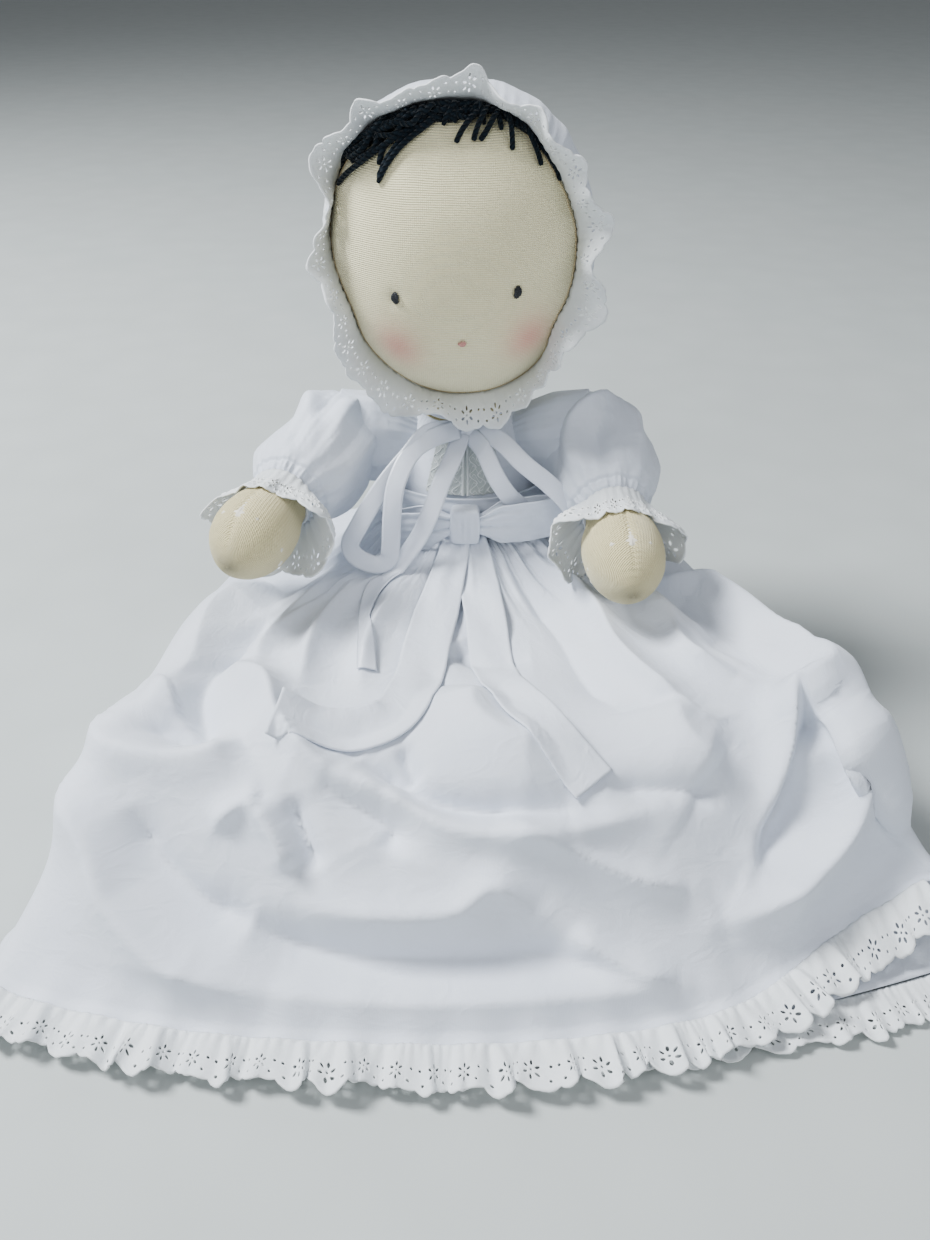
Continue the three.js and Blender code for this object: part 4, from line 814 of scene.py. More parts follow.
# %% Hair
yarn_radius = 1.35
loose_strand_places = [
    # angle, clock and stand of four points along each strand
    [(74, -8, 5), (70, -26, 6), (75, -44, 4), (84, -58, 2)],
    [(72, -14, 4), (66, -28, 6), (70, -42, 5), (77, -53, 3)],
    [(62, -10, 3), (58, -24, 4), (61, -42, 3), (71, -57, 1.2)],
    [(63, -12, 2), (60, -22, 3), (58, -30, 3), (55, -36, 1.2)],
    [(64, -4, 2), (58, -12, 3.4), (54, -26, 2.6), (50, -41, 1.2)],
    [(62, -8, 2), (59, -16, 3), (55, -29, 2), (51, -39.5, 1.4)],
    [(66, 12, 4), (60, 8, 5), (55, 4, 4), (51.5, 1, 1.3)],
    [(68, 14, 4), (61, 12, 6), (56, 10, 4), (52.5, 9, 1.3)],
    [(68, 18, 4), (61, 16, 5), (56, 14, 3), (53, 12, 1.3)],
    [(68, 17, 3), (62, 22, 5), (57, 25, 3), (53.5, 27, 1.3)],
    [(70, 14, 4), (64, 26, 5), (59, 35, 3.4), (55.5, 42, 1.4)],
    [(70, 17, 3), (66, 30, 4), (62, 42, 3), (58.5, 53, 1.3)],
    [(74, 16, 5), (70, 28, 5), (66, 38, 4), (61, 46, 2)],
]
mass_count = 46
mass_clock_range = (-28, 22)
mass_clock_limit = -45
right_bunch_count = 9
curl_count = 12
points_per_strand = 22

hair_lines = [smooth_curve(places, points_per_strand) for places in loose_strand_places]
for i in range(mass_count):
    start = between(*mass_clock_range, (i + rng.uniform(0, 1)) / mass_count)
    fullness = 1 - abs(start + 4) / 40
    inner = rng.uniform(57.5, 66) + 3 * (1 - fullness)
    sweep = rng.uniform(13, 26)
    lift = rng.uniform(1.2, 3 + 6 * fullness)
    line = smooth_curve([
        (77, start, 1.2), (between(77, inner, 0.6), start - 3, lift),
        (inner, start - sweep / 2, lift), (inner + rng.uniform(4, 9), start - sweep, between(1.2, lift, 0.6)),
    ], points_per_strand)
    line[:, 1] = np.maximum(line[:, 1], mass_clock_limit)
    hair_lines.append(line)
for i in range(right_bunch_count):
    start = rng.uniform(8, 22)
    hair_lines.append(smooth_curve([
        (76, start, 1.2), (70 - rng.uniform(0, 5), start + 8, rng.uniform(2, 6)),
        (66 - rng.uniform(0, 5), start + 18, rng.uniform(2, 5)),
        (rng.uniform(60, 68), start + rng.uniform(22, 30), 1.4),
    ], points_per_strand))
for i in range(curl_count):
    start = rng.uniform(-2, 20)
    hair_lines.append(smooth_curve([
        (77, start, 1.4), (72, start + rng.uniform(-5, 5), rng.uniform(5, 9)),
        (66, start + rng.uniform(-6, 3), rng.uniform(4, 9)),
        (60 + rng.uniform(-2, 5), start + rng.uniform(-8, 3), 2),
    ], points_per_strand))
paths = []
for line in hair_lines:
    angle, clock, stand = line.T
    limit = 1.2 + np.maximum(0, bonnet_edge(clock) - angle)
    paths.append(face_point(angle, clock, np.minimum(stand, limit)))
hair = strands("hair_strands", paths, yarn_radius, yarn, sides=8)
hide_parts("hair_tuft")
print(len(paths), "strands of yarn")

# %% [markdown]
# The bonnet is a band of lawn from ear to ear, gathered to its edge and to a round crown at the back.
# The gathers are ridges that fade away from each seam. They are heights added to the grid, because a
# cloth simulation is slow and its edges move.

# %% Bonnet band and crown
def gathers(share, count, seed, sharpness=2.0):
    """Uneven ridges from 0 to 1 along a gathered seam."""
    own = np.random.default_rng(seed)
    knots = np.linspace(0, 1, count + 1)
    shifts = np.cumsum(own.uniform(0.55, 1.45, count + 1))
    phase = np.interp(share, knots, (shifts - shifts[0]) / (shifts[-1] - shifts[0]) * count)
    heights = np.interp(share * count, np.arange(count + 1), own.uniform(0.35, 1, count + 1))
    return heights * (0.5 + 0.5 * np.cos(2 * np.pi * phase)) ** sharpness


bonnet_clearance = 1.7
bonnet_crown = 146
bonnet_open = 138
band_gathers = 58
band_gather_height = 1.5

u, v = grid_of(360, 60)
clock = between(-bonnet_open, bonnet_open, u)
fade = np.exp(-v / 0.16) + 0.9 * np.exp(-(1 - v) / 0.2)
soft = gathers(u, 19, 3, 1.0) * np.sin(np.pi * v) * 1.2
ridges = gathers(u, band_gathers, 2) * fade * band_gather_height + soft
stitch_line = 0.6 * bell((v - 0.05) / 0.012)
band = face_point(
    between(bonnet_edge(clock), bonnet_crown, v), clock,
    (bonnet_clearance + cloth_thickness - 0.4) * np.clip(0.35 + v / 0.05, 0, 1) + ridges - stitch_line,
)
bonnet_band = cloth("bonnet_band_cloth", band, 1.0, lawn, "head")
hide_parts("bonnet_band")

crown_lap = 1.5
crown_edge = 180 - bonnet_crown + crown_lap
u, v = ring_grid(220, 40)
radial = gathers(u, 44, 5) * np.exp(-(1 - v) / 0.3) * 1.4 + gathers(u, 13, 6, 1.0) * v * 1.2
rim = np.clip((v - 0.9) / 0.06, 0, 1)
crown = face_point(
    180 - crown_edge * np.maximum(v, 0.02), 360 * u, between(bonnet_clearance + 1.2 + radial, 1.0, rim),
)
bonnet_crown_piece = cloth("bonnet_crown_cloth", crown[:, ::-1], 1.0, lawn, "head", wrapped=True)
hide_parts("bonnet_crown")
print("bonnet of", len(bonnet_band.data.vertices), "points")

# %% [markdown]
# Eyelet trim repeats one tile: a scalloped edge, a flower of six petal holes and small round holes
# beside it, each with a raised rim of thread. The flat tile gets its triangles once for each ruffle, and is
# laid along it as often as its length asks for.

# %% A tile of eyelet
tile_width = 22.0
petal_count = 6
petal_ring_share = 0.155
petal_size_shares = (0.062, 0.034)
flower_middle_share = 0.62
round_hole_share = 0.034
scallop_share = 0.12
trim_thickness = 0.5
rim_width = 0.75
rim_height = 0.5
grid_step = 1.5
hole_sides = 12


def hole_shapes(height):
    """The holes of a tile: the middle, the two half sizes and the turn of each, in mm."""
    middle = np.array([tile_width / 2, height * flower_middle_share])
    ring = petal_ring_share * tile_width
    holes = []
    for i in range(petal_count):
        turn = 2 * math.pi * (i + 0.5) / petal_count
        spot = middle + ring * np.array([math.cos(turn), math.sin(turn)])
        holes.append((spot, petal_size_shares[0] * tile_width, petal_size_shares[1] * tile_width, turn))
    small = round_hole_share * tile_width
    holes.append((middle, small * 0.8, small * 0.8, 0))
    for across, up in ((0.09, 0.52), (0.91, 0.52), (0.0, 0.7), (0.14, 0.78), (0.86, 0.78)):
        holes.append((np.array([across * tile_width, up * height]), small, small, 0))
    return [hole for hole in holes if small * 1.4 < hole[0][0] < tile_width - small * 1.4]


def ellipse(hole, grow):
    """Points round a hole, grown by a width in mm."""
    spot, long, short, turn = hole
    turns = 2 * np.pi * np.arange(hole_sides) / hole_sides
    x, y = (long + grow) * np.cos(turns), (short + grow) * np.sin(turns)
    across, up = x * math.cos(turn) - y * math.sin(turn), x * math.sin(turn) + y * math.cos(turn)
    return spot + np.stack([across, up], -1)


def outside_of(hole, points):
    """How far points lie outside the edge of a hole, nearly."""
    spot, long, short, turn = hole
    away = points - spot
    x = away[:, 0] * math.cos(turn) + away[:, 1] * math.sin(turn)
    y = away[:, 1] * math.cos(turn) - away[:, 0] * math.sin(turn)
    return (np.hypot(x / long, y / short) - 1) * math.sqrt(long * short)


def edge_height(across, height):
    """The height of the scalloped edge."""
    bump = np.abs(np.sin(np.pi * across / tile_width)) ** 0.7
    small = 0.25 * np.abs(np.sin(3 * np.pi * across / tile_width))
    return height * (1 - scallop_share * (1 - 0.8 * bump - small * 0.8))


def make_tile(height):
    """The points, triangles and raised shares of one tile of that height in mm."""
    holes = hole_shapes(height)
    across = np.linspace(0, tile_width, int(tile_width / grid_step) + 1)
    rows = np.linspace(0, 1, int(height / grid_step) + 1)
    field = np.array([(x, y * edge_height(x, height)) for x in across for y in rows])
    keep = np.all([outside_of(hole, field) > rim_width * 1.3 for hole in holes], axis=0)
    side = (field[:, 0] < 0.01) | (field[:, 0] > tile_width - 0.01)
    points = [field[keep | side]]
    points += [ellipse(hole, grow) for hole in holes for grow in (0, rim_width * 0.45, rim_width)]
    points = np.concatenate(points)
    triangles = delaunay_2d_cdt([Vector(point) for point in points], [], [], 0, 1e-5)
    points = np.array([tuple(point) for point in triangles[0]])
    faces = np.array([face for face in triangles[2]])
    middles = points[faces].mean(1)
    good = middles[:, 1] < edge_height(middles[:, 0], height) + 0.02
    for hole in holes:
        good &= outside_of(hole, middles) > -0.02
    raised = np.zeros(len(points))
    for hole in holes:
        gap = outside_of(hole, points)
        raised = np.maximum(raised, bell((gap - rim_width * 0.4) / (rim_width * 0.45)))
    border = edge_height(points[:, 0], height) - points[:, 1]
    raised = np.maximum(raised, bell((border - 0.35) / 0.5))
    return points, faces[good], raised


# %% Tiles laid along a grid
def at_grid(grid, u, v, wrapped=False):
    """Values between the points of a grid, at shares across and down."""
    columns, rows = grid.shape[:2]
    x = u * (columns if wrapped else columns - 1)
    y = np.clip(v, 0, 1) * (rows - 1)
    i, j = np.floor(x).astype(int), np.minimum(np.floor(y).astype(int), rows - 2)
    if not wrapped:
        i = np.clip(i, 0, columns - 2)
    s, t = (x - i)[:, None], (y - j)[:, None]
    k = (i + 1) % columns if wrapped else i + 1
    i = i % columns
    near_row = grid[i, j] * (1 - s) + grid[k, j] * s
    far_row = grid[i, j + 1] * (1 - s) + grid[k, j + 1] * s
    return near_row * (1 - t) + far_row * t


def trim(name, surface, tile_count, height, body=None, wrapped=False):
    """Eyelet tiles in a row over a grid of points, joined at their edges, with both faces and the rims."""
    points, faces, raised = make_tile(height)
    flat = np.concatenate([points + [tile_width * i, 0] for i in range(tile_count)])
    faces = np.concatenate([faces + len(points) * i for i in range(tile_count)])
    raised = np.tile(raised, tile_count)
    length = tile_width * tile_count
    key = np.round(flat / 0.02).astype(int)
    if wrapped:
        key[:, 0] %= int(round(length / 0.02))
    first, joined = np.unique(key, axis=0, return_index=True, return_inverse=True)[1:]
    corners = flat[faces]
    faces = joined.ravel()[faces]
    flat, raised = flat[first], raised[first]
    u, v = flat[:, 0] / length, flat[:, 1] / height
    outward = unit(at_grid(outward_of(surface, wrapped), u, v, wrapped))
    middle = at_grid(surface, u, v, wrapped)
    top = middle + outward * (raised * rim_height)[:, None]
    bottom = middle - outward * trim_thickness
    pairs = [0, 1], [1, 2], [2, 0]
    sides, places = (np.concatenate([part[:, pair] for pair in pairs]) for part in (faces, corners))
    order = np.sort(sides, axis=1)
    index, uses = np.unique(order, axis=0, return_index=True, return_counts=True)[1:]
    border = index[uses == 1]
    count = len(top)
    first, second = sides[border, 0], sides[border, 1]
    wall = np.stack([second, first, first + count, second + count], -1)
    wall_place = np.stack([places[border, 1], places[border, 0], places[border, 0], places[border, 1]], 1)
    everything = faces.tolist() + (faces[:, ::-1] + count).tolist() + wall.tolist()
    uvs = np.concatenate([part.reshape(-1, 2) for part in (corners, corners[:, ::-1], wall_place)])
    return mesh_piece(
        name, np.concatenate([top, bottom]), everything, uvs, eyelet, body,
        np.concatenate([raised, raised * 0.3]),
    )


print("tile", tile_width, "mm wide with", len(hole_shapes(22)), "holes")

# %% [markdown]
# The bonnet's ruffle stands out all round the face. Its gathers are small at the seam and join into
# lobes at the scalloped edge. Where the edge lies close to the face, the ruffle stands forward there.

# %% Bonnet ruffle
ruffle_width = 24.0
ruffle_tiles = 31
ruffle_lean_share = 0.42
ruffle_root_stand = 0.5
lap_share = 0.12
lap_end_clock = 132
lap_width_angle = 2.2
lap_stand = 3.2
lobe_places = [
    # clock angle round the face, and how far from its middle the ruffle's outer edge lies there
    (-180, 90), (-171, 78), (-161, 80), (-152, 93), (-142, 84), (-126, 81), (-112, 71), (-102, 66), (-96, 70),
    (-86, 78), (-74, 72), (-63, 69), (-55, 88), (-48, 92), (-38, 83), (-30, 94), (-24, 85), (-14, 86),
    (-6, 87), (3, 90), (9, 95), (14, 84), (19, 78), (24, 84), (30, 86), (36, 75), (46, 79), (53, 80),
    (62, 71), (70, 78), (77, 82), (84, 68), (91, 64), (98, 74), (106, 79), (115, 75), (123, 65), (140, 70),
    (152, 77), (162, 84), (170, 90),
]
ripple_count = 29
ripple_height = 1.3
small_gather_count = 83
small_gather_height = 0.7

u, v = ring_grid(683, 26)
clock = -360 * u
turned = (clock + 180) % 360 - 180
lap = np.clip(1 - v / lap_share, 0, 1) * np.clip((lap_end_clock - np.abs(turned)) / 14, 0, 1)
fall = np.clip((v - lap_share) / (1 - lap_share), 0, 1)
over_hair = 2.3 * np.exp(-((turned / 46) ** 4))
root_stand = ruffle_root_stand + over_hair + (lap_stand - over_hair) * lap
root = face_point(bonnet_edge(turned) + lap_width_angle * lap, clock, root_stand)
ring = np.radians(clock)
out = np.stack([np.sin(ring), 0 * ring, np.cos(ring)], -1) @ head_turn.T
from_middle = (root - neck_middle) @ head_turn - head_middle
reach = round_the_face(lobe_places, turned, 2.2) - np.hypot(from_middle[..., 0], from_middle[..., 2])
forward_reach = np.sqrt(np.maximum(ruffle_width**2 - reach**2, (ruffle_lean_share * ruffle_width) ** 2))
phase = 2 * np.pi * ripple_count * u
ripple = ripple_height * np.sin(phase + 1.5 * np.sin(phase * 5 / ripple_count)) * v
small = small_gather_height * np.sin(2 * np.pi * small_gather_count * u + np.sin(phase))
small = small * np.exp(-v / 0.4) * np.clip(v / 0.08, 0.2, 1)
belly = np.sin(np.pi * fall) * 0.12 * ruffle_width
ruffle = (
    root
    + np.array([0, -1, 0]) * (0.3 + forward_reach * fall + (ripple + small) * 0.8 + belly)[..., None]
    + out * (reach * fall + (ripple + small) * 0.6 - belly * 0.3)[..., None]
)
bonnet_ruffle = trim("bonnet_ruffle_eyelet", ruffle, ruffle_tiles, 21.0, "head", wrapped=True)
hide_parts("bonnet_ruffle")
print("bonnet ruffle", len(bonnet_ruffle.data.polygons), "faces")

# %% [markdown]
# Two satin ties run from the bonnet's corners behind the ruffle to the chin, as narrow grids on the head.

# %% Bonnet ties
tie_width_angle = math.degrees(10 / 64)
tie_end = 164
for side, sign in signs.items():
    u, v = grid_of(12, 40)
    across = u if sign > 0 else 1 - u
    clock = between(bonnet_open + 0.6, tie_end, v)
    roll = 0.5 * np.cos(2 * np.pi * v * 3) * (u - 0.5)
    angle = bonnet_edge(sign * clock) + tie_width_angle * across
    tie = face_point(angle, sign * clock, bonnet_clearance + 0.8 + roll)
    piece = cloth(side + "_bonnet_tie_satin", tie, 0.4, satin, "head")
    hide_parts(side + "_bonnet_tie")
print("ties made")

# %% [markdown]
# The skirt's front falls from the waist over the lap and the toes to the hem. Its edge is a curve on
# the floor, seen from above in shares of the gown's reach. The turn runs from the right side seam (0)
# to the left one (1), and the share from the waist (0) to the hem (1).

# %% The skirt's plain form
skirt_reach = 300
lap_height = 84
skirt_top = 106
lap_fullness = 0.6
hem_height = 2.6
hem_lift = 26
hem_lift_turn = 0.72
hem_lift_width = 0.09
right_side = [(-0.57, 0.06), (-0.61, -0.12), (-0.65, -0.35), (-0.68, -0.55), (-0.7, -0.74)]
front_hem = [(-0.71, -0.87), (-0.47, -0.945), (-0.2, -0.975), (0.1, -0.975), (0.38, -0.925)]
lifted_hem = [(0.58, -0.8), (0.72, -0.74)]
left_side = [(0.77, -0.74), (0.71, -0.55), (0.66, -0.35), (0.61, -0.12), (0.57, 0.06)]
back_hem = [(-0.71, -0.85), (-0.42, -0.92), (0, -0.945), (0.45, -0.915), (0.82, -0.85)]
seat_back = [
    (-0.57, 0.07), (-0.48, 0.18), (-0.28, 0.25), (0, 0.275), (0.28, 0.25), (0.48, 0.18), (0.57, 0.07),
]
drape_steps = [0, 0.05, 0.12, 0.22, 0.36, 0.5, 0.62, 0.7, 0.76, 0.82, 0.88, 0.94, 1]
waist_rises = [1, 0.83, 0.33, 0.08, 0.04, 0.04, 0, 0, 0, 0, 0, 0, 0]
lap_heights = [1, 1, 1, 1, 1, 1, 0.99, 0.93, 0.8, 0.58, 0.35, 0.15, 0]
side_rises = [1, 0.8, 0.3, 0, 0, 0, 0, 0, 0, 0, 0, 0, 0]
side_heights = [1, 1, 1, 1, 0.95, 0.9, 0.84, 0.77, 0.68, 0.56, 0.4, 0.2, 0]


def eased(steps, values, share):
    """The value of a table between its steps, with its corners rounded off."""
    fine = np.linspace(0, 1, 401)
    line = np.interp(fine, steps, values)
    window = np.hanning(33)
    padded = np.concatenate([np.full(16, line[0]), line, np.full(16, line[-1])])
    return np.interp(share, fine, np.convolve(padded, window / window.sum(), "valid"))


edge_steps = 601
front_edge = smooth_curve(right_side + front_hem + lifted_hem + left_side, edge_steps) * skirt_reach


def edge_at(turn, edge=front_edge):
    """The place on an edge of the gown, seen from above, at each turn."""
    knots = np.linspace(0, 1, len(edge))
    return np.interp(turn, knots, edge[:, 0]), np.interp(turn, knots, edge[:, 1])


def drape(rises, heights, share):
    """The height of the skirt at a share of the way from the waist to its edge."""
    rise = eased(drape_steps, rises, share) * (skirt_top - lap_height)
    return rise + eased(drape_steps, heights, share) * lap_height


def skirt_point(turn, share):
    """A point of the skirt's plain form, on the inner side of the cloth."""
    turn, share = np.broadcast_arrays(np.asarray(turn, float), np.asarray(share, float))
    waist = bodice_point(bodice_seam_angle * (2 * turn - 1), 0)
    x, y = edge_at(turn)
    frontness = np.maximum(0, np.sin(np.pi * turn)) ** lap_fullness
    at_side, at_front = drape(side_rises, side_heights, share), drape(waist_rises, lap_heights, share)
    height = between(at_side, at_front, frontness)
    lift = bell((turn - hem_lift_turn) / hem_lift_width) * share**6
    return np.stack([
        between(waist[..., 0], x, share), between(waist[..., 1], y, share),
        height + hem_height * share + hem_lift * lift,
    ], -1)


print("skirt edge", np.round(np.ptp(front_edge, axis=0)), "mm")

# %% [markdown]
# A fold is a ridge or a valley along a line, drawn in turns and shares on the plain form. The nearer a
# point of the cloth lies to it, the more of its height the point gets. A fold's two widths may differ, so
# that it can lean and have one sharp side.

# %% Fold tools
def turn_of_arc(count, first=0.0, last=1.0):
    """Turns that lie evenly along the edge on the floor."""
    turns = np.linspace(0, 1, edge_steps)
    lengths = np.concatenate([[0], np.cumsum(np.linalg.norm(np.diff(front_edge, axis=0), axis=1))])
    ends = np.interp([first, last], turns, lengths)
    return np.interp(np.linspace(ends[0], ends[1], count), lengths, turns)


fold_strength = 1.75
fold_width = 0.88
fold_sharpness = 1.3
fold_steps = 60


def fold_heights(points, line, height, widths):
    """The height that a fold adds at each point of a grid."""
    places = smooth_curve(line, fold_steps)
    spine = skirt_point(places[:, 0], places[:, 1])
    flat = points.reshape(-1, 3)
    near = np.full(len(flat), 1e9)
    index = np.zeros(len(flat), int)
    for step, spot in enumerate(spine):
        away = ((flat - spot) ** 2).sum(1)
        closer = away < near
        near[closer], index[closer] = away[closer], step
    steps = np.gradient(spine, axis=0)[index]
    offset = flat - spine[index]
    beyond = np.clip((offset * steps).sum(1) / (steps**2).sum(1), -0.75, 0.75)
    offset = offset - steps * beyond[:, None]
    near = (offset**2).sum(1)
    sign = steps[:, 0] * offset[:, 1] - steps[:, 1] * offset[:, 0]
    width = np.where(sign > 0, widths[0], widths[1])
    share = np.clip((index + beyond) / (fold_steps - 1), 0, 1)
    taper = np.clip(np.minimum(share, 1 - share) / 0.22, 0.12, 1) ** 0.8
    distance = np.sqrt(near) / (fold_width * width)
    return (fold_strength * height * taper * np.exp(-(distance**fold_sharpness))).reshape(points.shape[:2])


skirt_columns, skirt_rows = 400, 170
skirt_turns = turn_of_arc(skirt_columns)
skirt_shares = np.linspace(0, 1, skirt_rows)
turn, share = np.meshgrid(skirt_turns, skirt_shares, indexing="ij")
plain_skirt = skirt_point(turn, share)
print("skirt of", plain_skirt.shape[0] * plain_skirt.shape[1], "points")

# %% [markdown]
# On the right of the front a deep fold curls round an S. Over the legs the cloth swells, and a crease
# runs below. Long shallow folds cross above the hem, and on the left one big fold stands up from the hand
# to the lifted hem.

# %% Folds of the skirt's front
skirt_folds = {
    # height in mm, widths to the left and the right of the line in mm, line of (turn, share)
    "right hip roll": (8, (17, 24), [(0.13, 0.42), (0.15, 0.58), (0.25, 0.58), (0.32, 0.66)]),
    "right hip valley": (
        -7, (11, 12), [(0.2, 0.4), (0.27, 0.48), (0.335, 0.6), (0.335, 0.645), (0.29, 0.635)],
    ),
    "right s ridge": (
        10, (11, 13), [(0.29, 0.45), (0.35, 0.51), (0.38, 0.6), (0.4, 0.65), (0.42, 0.69), (0.45, 0.71)],
    ),
    "right bump": (8, (15, 12), [(0.22, 0.71), (0.3, 0.71), (0.355, 0.69), (0.37, 0.64)]),
    "below the s": (-6.5, (11, 9), [(0.4, 0.67), (0.43, 0.72), (0.45, 0.755), (0.45, 0.79)]),
    "right outer roll": (9, (15, 17), [(0.24, 0.75), (0.32, 0.8), (0.35, 0.87), (0.38, 0.925), (0.42, 0.95)]),
    "right long valley": (-6, (10, 11), [(0.335, 0.76), (0.355, 0.81), (0.38, 0.85), (0.405, 0.865)]),
    "long valley": (
        -7, (10, 14), [(0.4, 0.865), (0.42, 0.885), (0.45, 0.9), (0.48, 0.9), (0.51, 0.9), (0.54, 0.94)],
    ),
    "long roll": (5, (9, 9), [(0.415, 0.845), (0.45, 0.85), (0.475, 0.845), (0.49, 0.82), (0.505, 0.85)]),
    "hem roll": (6, (11, 16), [(0.4, 0.94), (0.45, 0.945), (0.48, 0.945), (0.52, 0.945), (0.56, 0.96)]),
    "middle line": (5, (6, 10), [(0.49, 0.74), (0.51, 0.77), (0.54, 0.82), (0.565, 0.85)]),
    "low left line": (5, (7, 10), [(0.515, 0.87), (0.53, 0.91), (0.55, 0.95)]),
    "left fold": (
        13, (17, 7), [(0.82, 0.3), (0.87, 0.55), (0.8, 0.66), (0.69, 0.68), (0.645, 0.76), (0.6, 0.84)],
    ),
    "left fold foot": (-8, (8, 9), [(0.74, 0.7), (0.665, 0.745), (0.63, 0.815), (0.595, 0.87)]),
    "left outer fold": (
        12, (14, 15), [(0.79, 0.66), (0.72, 0.77), (0.66, 0.87), (0.61, 0.905), (0.57, 0.895)],
    ),
    "left corner fold": (6, (12, 12), [(0.8, 0.72), (0.76, 0.8), (0.72, 0.9)]),
    "left gather": (7, (14, 6), [(0.7, 0.07), (0.66, 0.22), (0.61, 0.41), (0.6, 0.56), (0.61, 0.66)]),
    "left outer gather": (6, (10, 7), [(0.82, 0.16), (0.76, 0.29), (0.67, 0.48), (0.68, 0.6)]),
    "left arm gather": (5, (9, 7), [(0.76, 0.22), (0.74, 0.36), (0.77, 0.5)]),
    "left lap valley": (-4, (9, 9), [(0.6, 0.1), (0.585, 0.28), (0.57, 0.44), (0.57, 0.56)]),
    "lap swell": (9, (26, 30), [(0.49, 0.46), (0.485, 0.56), (0.5, 0.63), (0.53, 0.65)]),
    "left knee swell": (7, (22, 24), [(0.6, 0.6), (0.59, 0.68), (0.6, 0.74)]),
    "lap crease": (-7, (8, 6), [(0.43, 0.65), (0.45, 0.68), (0.465, 0.715), (0.49, 0.735), (0.53, 0.74)]),
    "crease lip": (4.5, (6, 7), [(0.43, 0.685), (0.455, 0.725), (0.48, 0.76), (0.52, 0.765), (0.56, 0.755)]),
    "crease nick": (-4.5, (4, 4), [(0.45, 0.62), (0.455, 0.655), (0.46, 0.69)]),
    "bow hollow": (-5, (14, 13), [(0.47, 0.3), (0.49, 0.35), (0.54, 0.37)]),
    "right gather": (6, (8, 7), [(0.38, 0.08), (0.385, 0.26), (0.41, 0.46)]),
    "right outer gather": (6, (8, 8), [(0.3, 0.12), (0.33, 0.28), (0.375, 0.5)]),
    "right arm gather": (5, (10, 9), [(0.19, 0.15), (0.26, 0.33), (0.34, 0.47)]),
    "small crumple": (4.5, (7, 5), [(0.375, 0.775), (0.385, 0.745), (0.395, 0.735)]),
    "crumple ridge": (6, (7, 5), [(0.39, 0.735), (0.405, 0.775), (0.415, 0.81)]),
    "crumple valley": (-5, (5, 5), [(0.405, 0.72), (0.415, 0.765), (0.425, 0.81)]),
    "left knee crease": (-4, (7, 7), [(0.54, 0.71), (0.57, 0.735), (0.6, 0.77)]),
}
folds = sum(
    fold_heights(plain_skirt, line, height, widths) for height, widths, line in skirt_folds.values()
)

hem_seam_share = 0.982
hem_ripple_count = 36
fine_gathers = 2.6 * gathers(turn, 74, 21) * np.exp(-share / 0.07)
joined_gathers = 4.2 * gathers(turn + 0.01 * np.sin(9 * share), 25, 22, 1.1)
joined_gathers = joined_gathers * bell((share - 0.1) / 0.13)
soft_folds = 2.2 * gathers(turn + 0.012 * np.sin(7 * share + 1), 17, 23, 1.0)
soft_folds = soft_folds * bell((share - 0.35) / 0.2)
hem_seam = -0.7 * bell((share - hem_seam_share) / 0.004) + 0.5 * (share > hem_seam_share)
arc_share = np.linspace(0, 1, skirt_columns)[:, None]
hem_ripples = 1.4 * np.exp(-(1 - share) / 0.03) * np.sin(2 * np.pi * hem_ripple_count * arc_share)
stand = folds * np.clip(share / 0.08, 0, 1) * np.clip((1 - share) / 0.07, 0.1, 1)
stand = stand + fine_gathers + joined_gathers + soft_folds + hem_seam + hem_ripples
stand = stand * np.clip(np.minimum(turn, 1 - turn) / 0.015, 0, 1)
skirt_outward = -outward_of(plain_skirt)
skirt_outward[:, 0] = skirt_outward[:, 1]
front_surface = plain_skirt + skirt_outward * (cloth_thickness + stand)[..., None]
front_surface[..., 2] = np.maximum(front_surface[..., 2], 2.4)
print("folds from", round(float(stand.min()), 1), "to", round(float(stand.max()), 1), "mm")

# %% Skirt front
skirt_front = cloth("skirt_front_cloth", front_surface[::-1], 0.9, lawn)
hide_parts("skirt_front")
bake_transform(skirt_front)
print("skirt front", [round(size, 3) for size in skirt_front.dimensions])

# %% [markdown]
# The back panel falls behind the seat in soft pleats, turns on the floor and runs forward under the
# doll, out to its own hem. A little of it shows below the lifted edge of the front. One grid makes both
# parts, so that the turn on the floor has no seam.

# %% Skirt back
wall_rows, under_rows, back_columns = 70, 90, 300
u = np.linspace(0, 1, back_columns)[:, None]
v = np.linspace(0, 1, wall_rows)[None, :]
seam_ease = 0.8 / waist_half_width
angle = between(-bodice_seam_angle - seam_ease, bodice_seam_angle + seam_ease - 2 * np.pi, u)
seat_edge = smooth_curve(seat_back, edge_steps) * skirt_reach
waist = bodice_point(angle, 0)
x, y = edge_at(u, seat_edge * 0.995)
wall = np.stack([
    between(waist[..., 0], x, v), between(waist[..., 1], y, v),
    drape(side_rises, side_heights, v) + 1.6 + 0 * u,
], -1)
pleats = (
    3.0 * gathers(u, 60, 31) * np.exp(-v / 0.08)
    + 7 * gathers(u + 0.01 * np.sin(5 * v), 17, 32, 1.0) * np.sin(np.pi * v) ** 0.6
    + 3 * gathers(u, 9, 33, 1.0) * np.sin(np.pi * v)
)
ends = np.clip(np.minimum(u, 1 - u) / 0.06, 0, 1)
pleats = pleats * ends * np.clip((1 - v) / 0.05, 0, 1)
wall = wall + unit(wall - np.array([0, 0, 40])) * pleats[..., None]

tuck_columns, tuck_depth = 4, 2.8
under_front = front_surface - skirt_outward * tuck_depth
for first, step, place in ((0, 1, 3 / skirt_columns), (back_columns - 1, -1, 1 - 3 / skirt_columns)):
    tucked = at_grid(under_front, np.full(wall_rows, place), np.linspace(0, 1, wall_rows))
    for k in range(tuck_columns):
        wall[first + step * k] = between(tucked, wall[first + step * tuck_columns], k / tuck_columns)

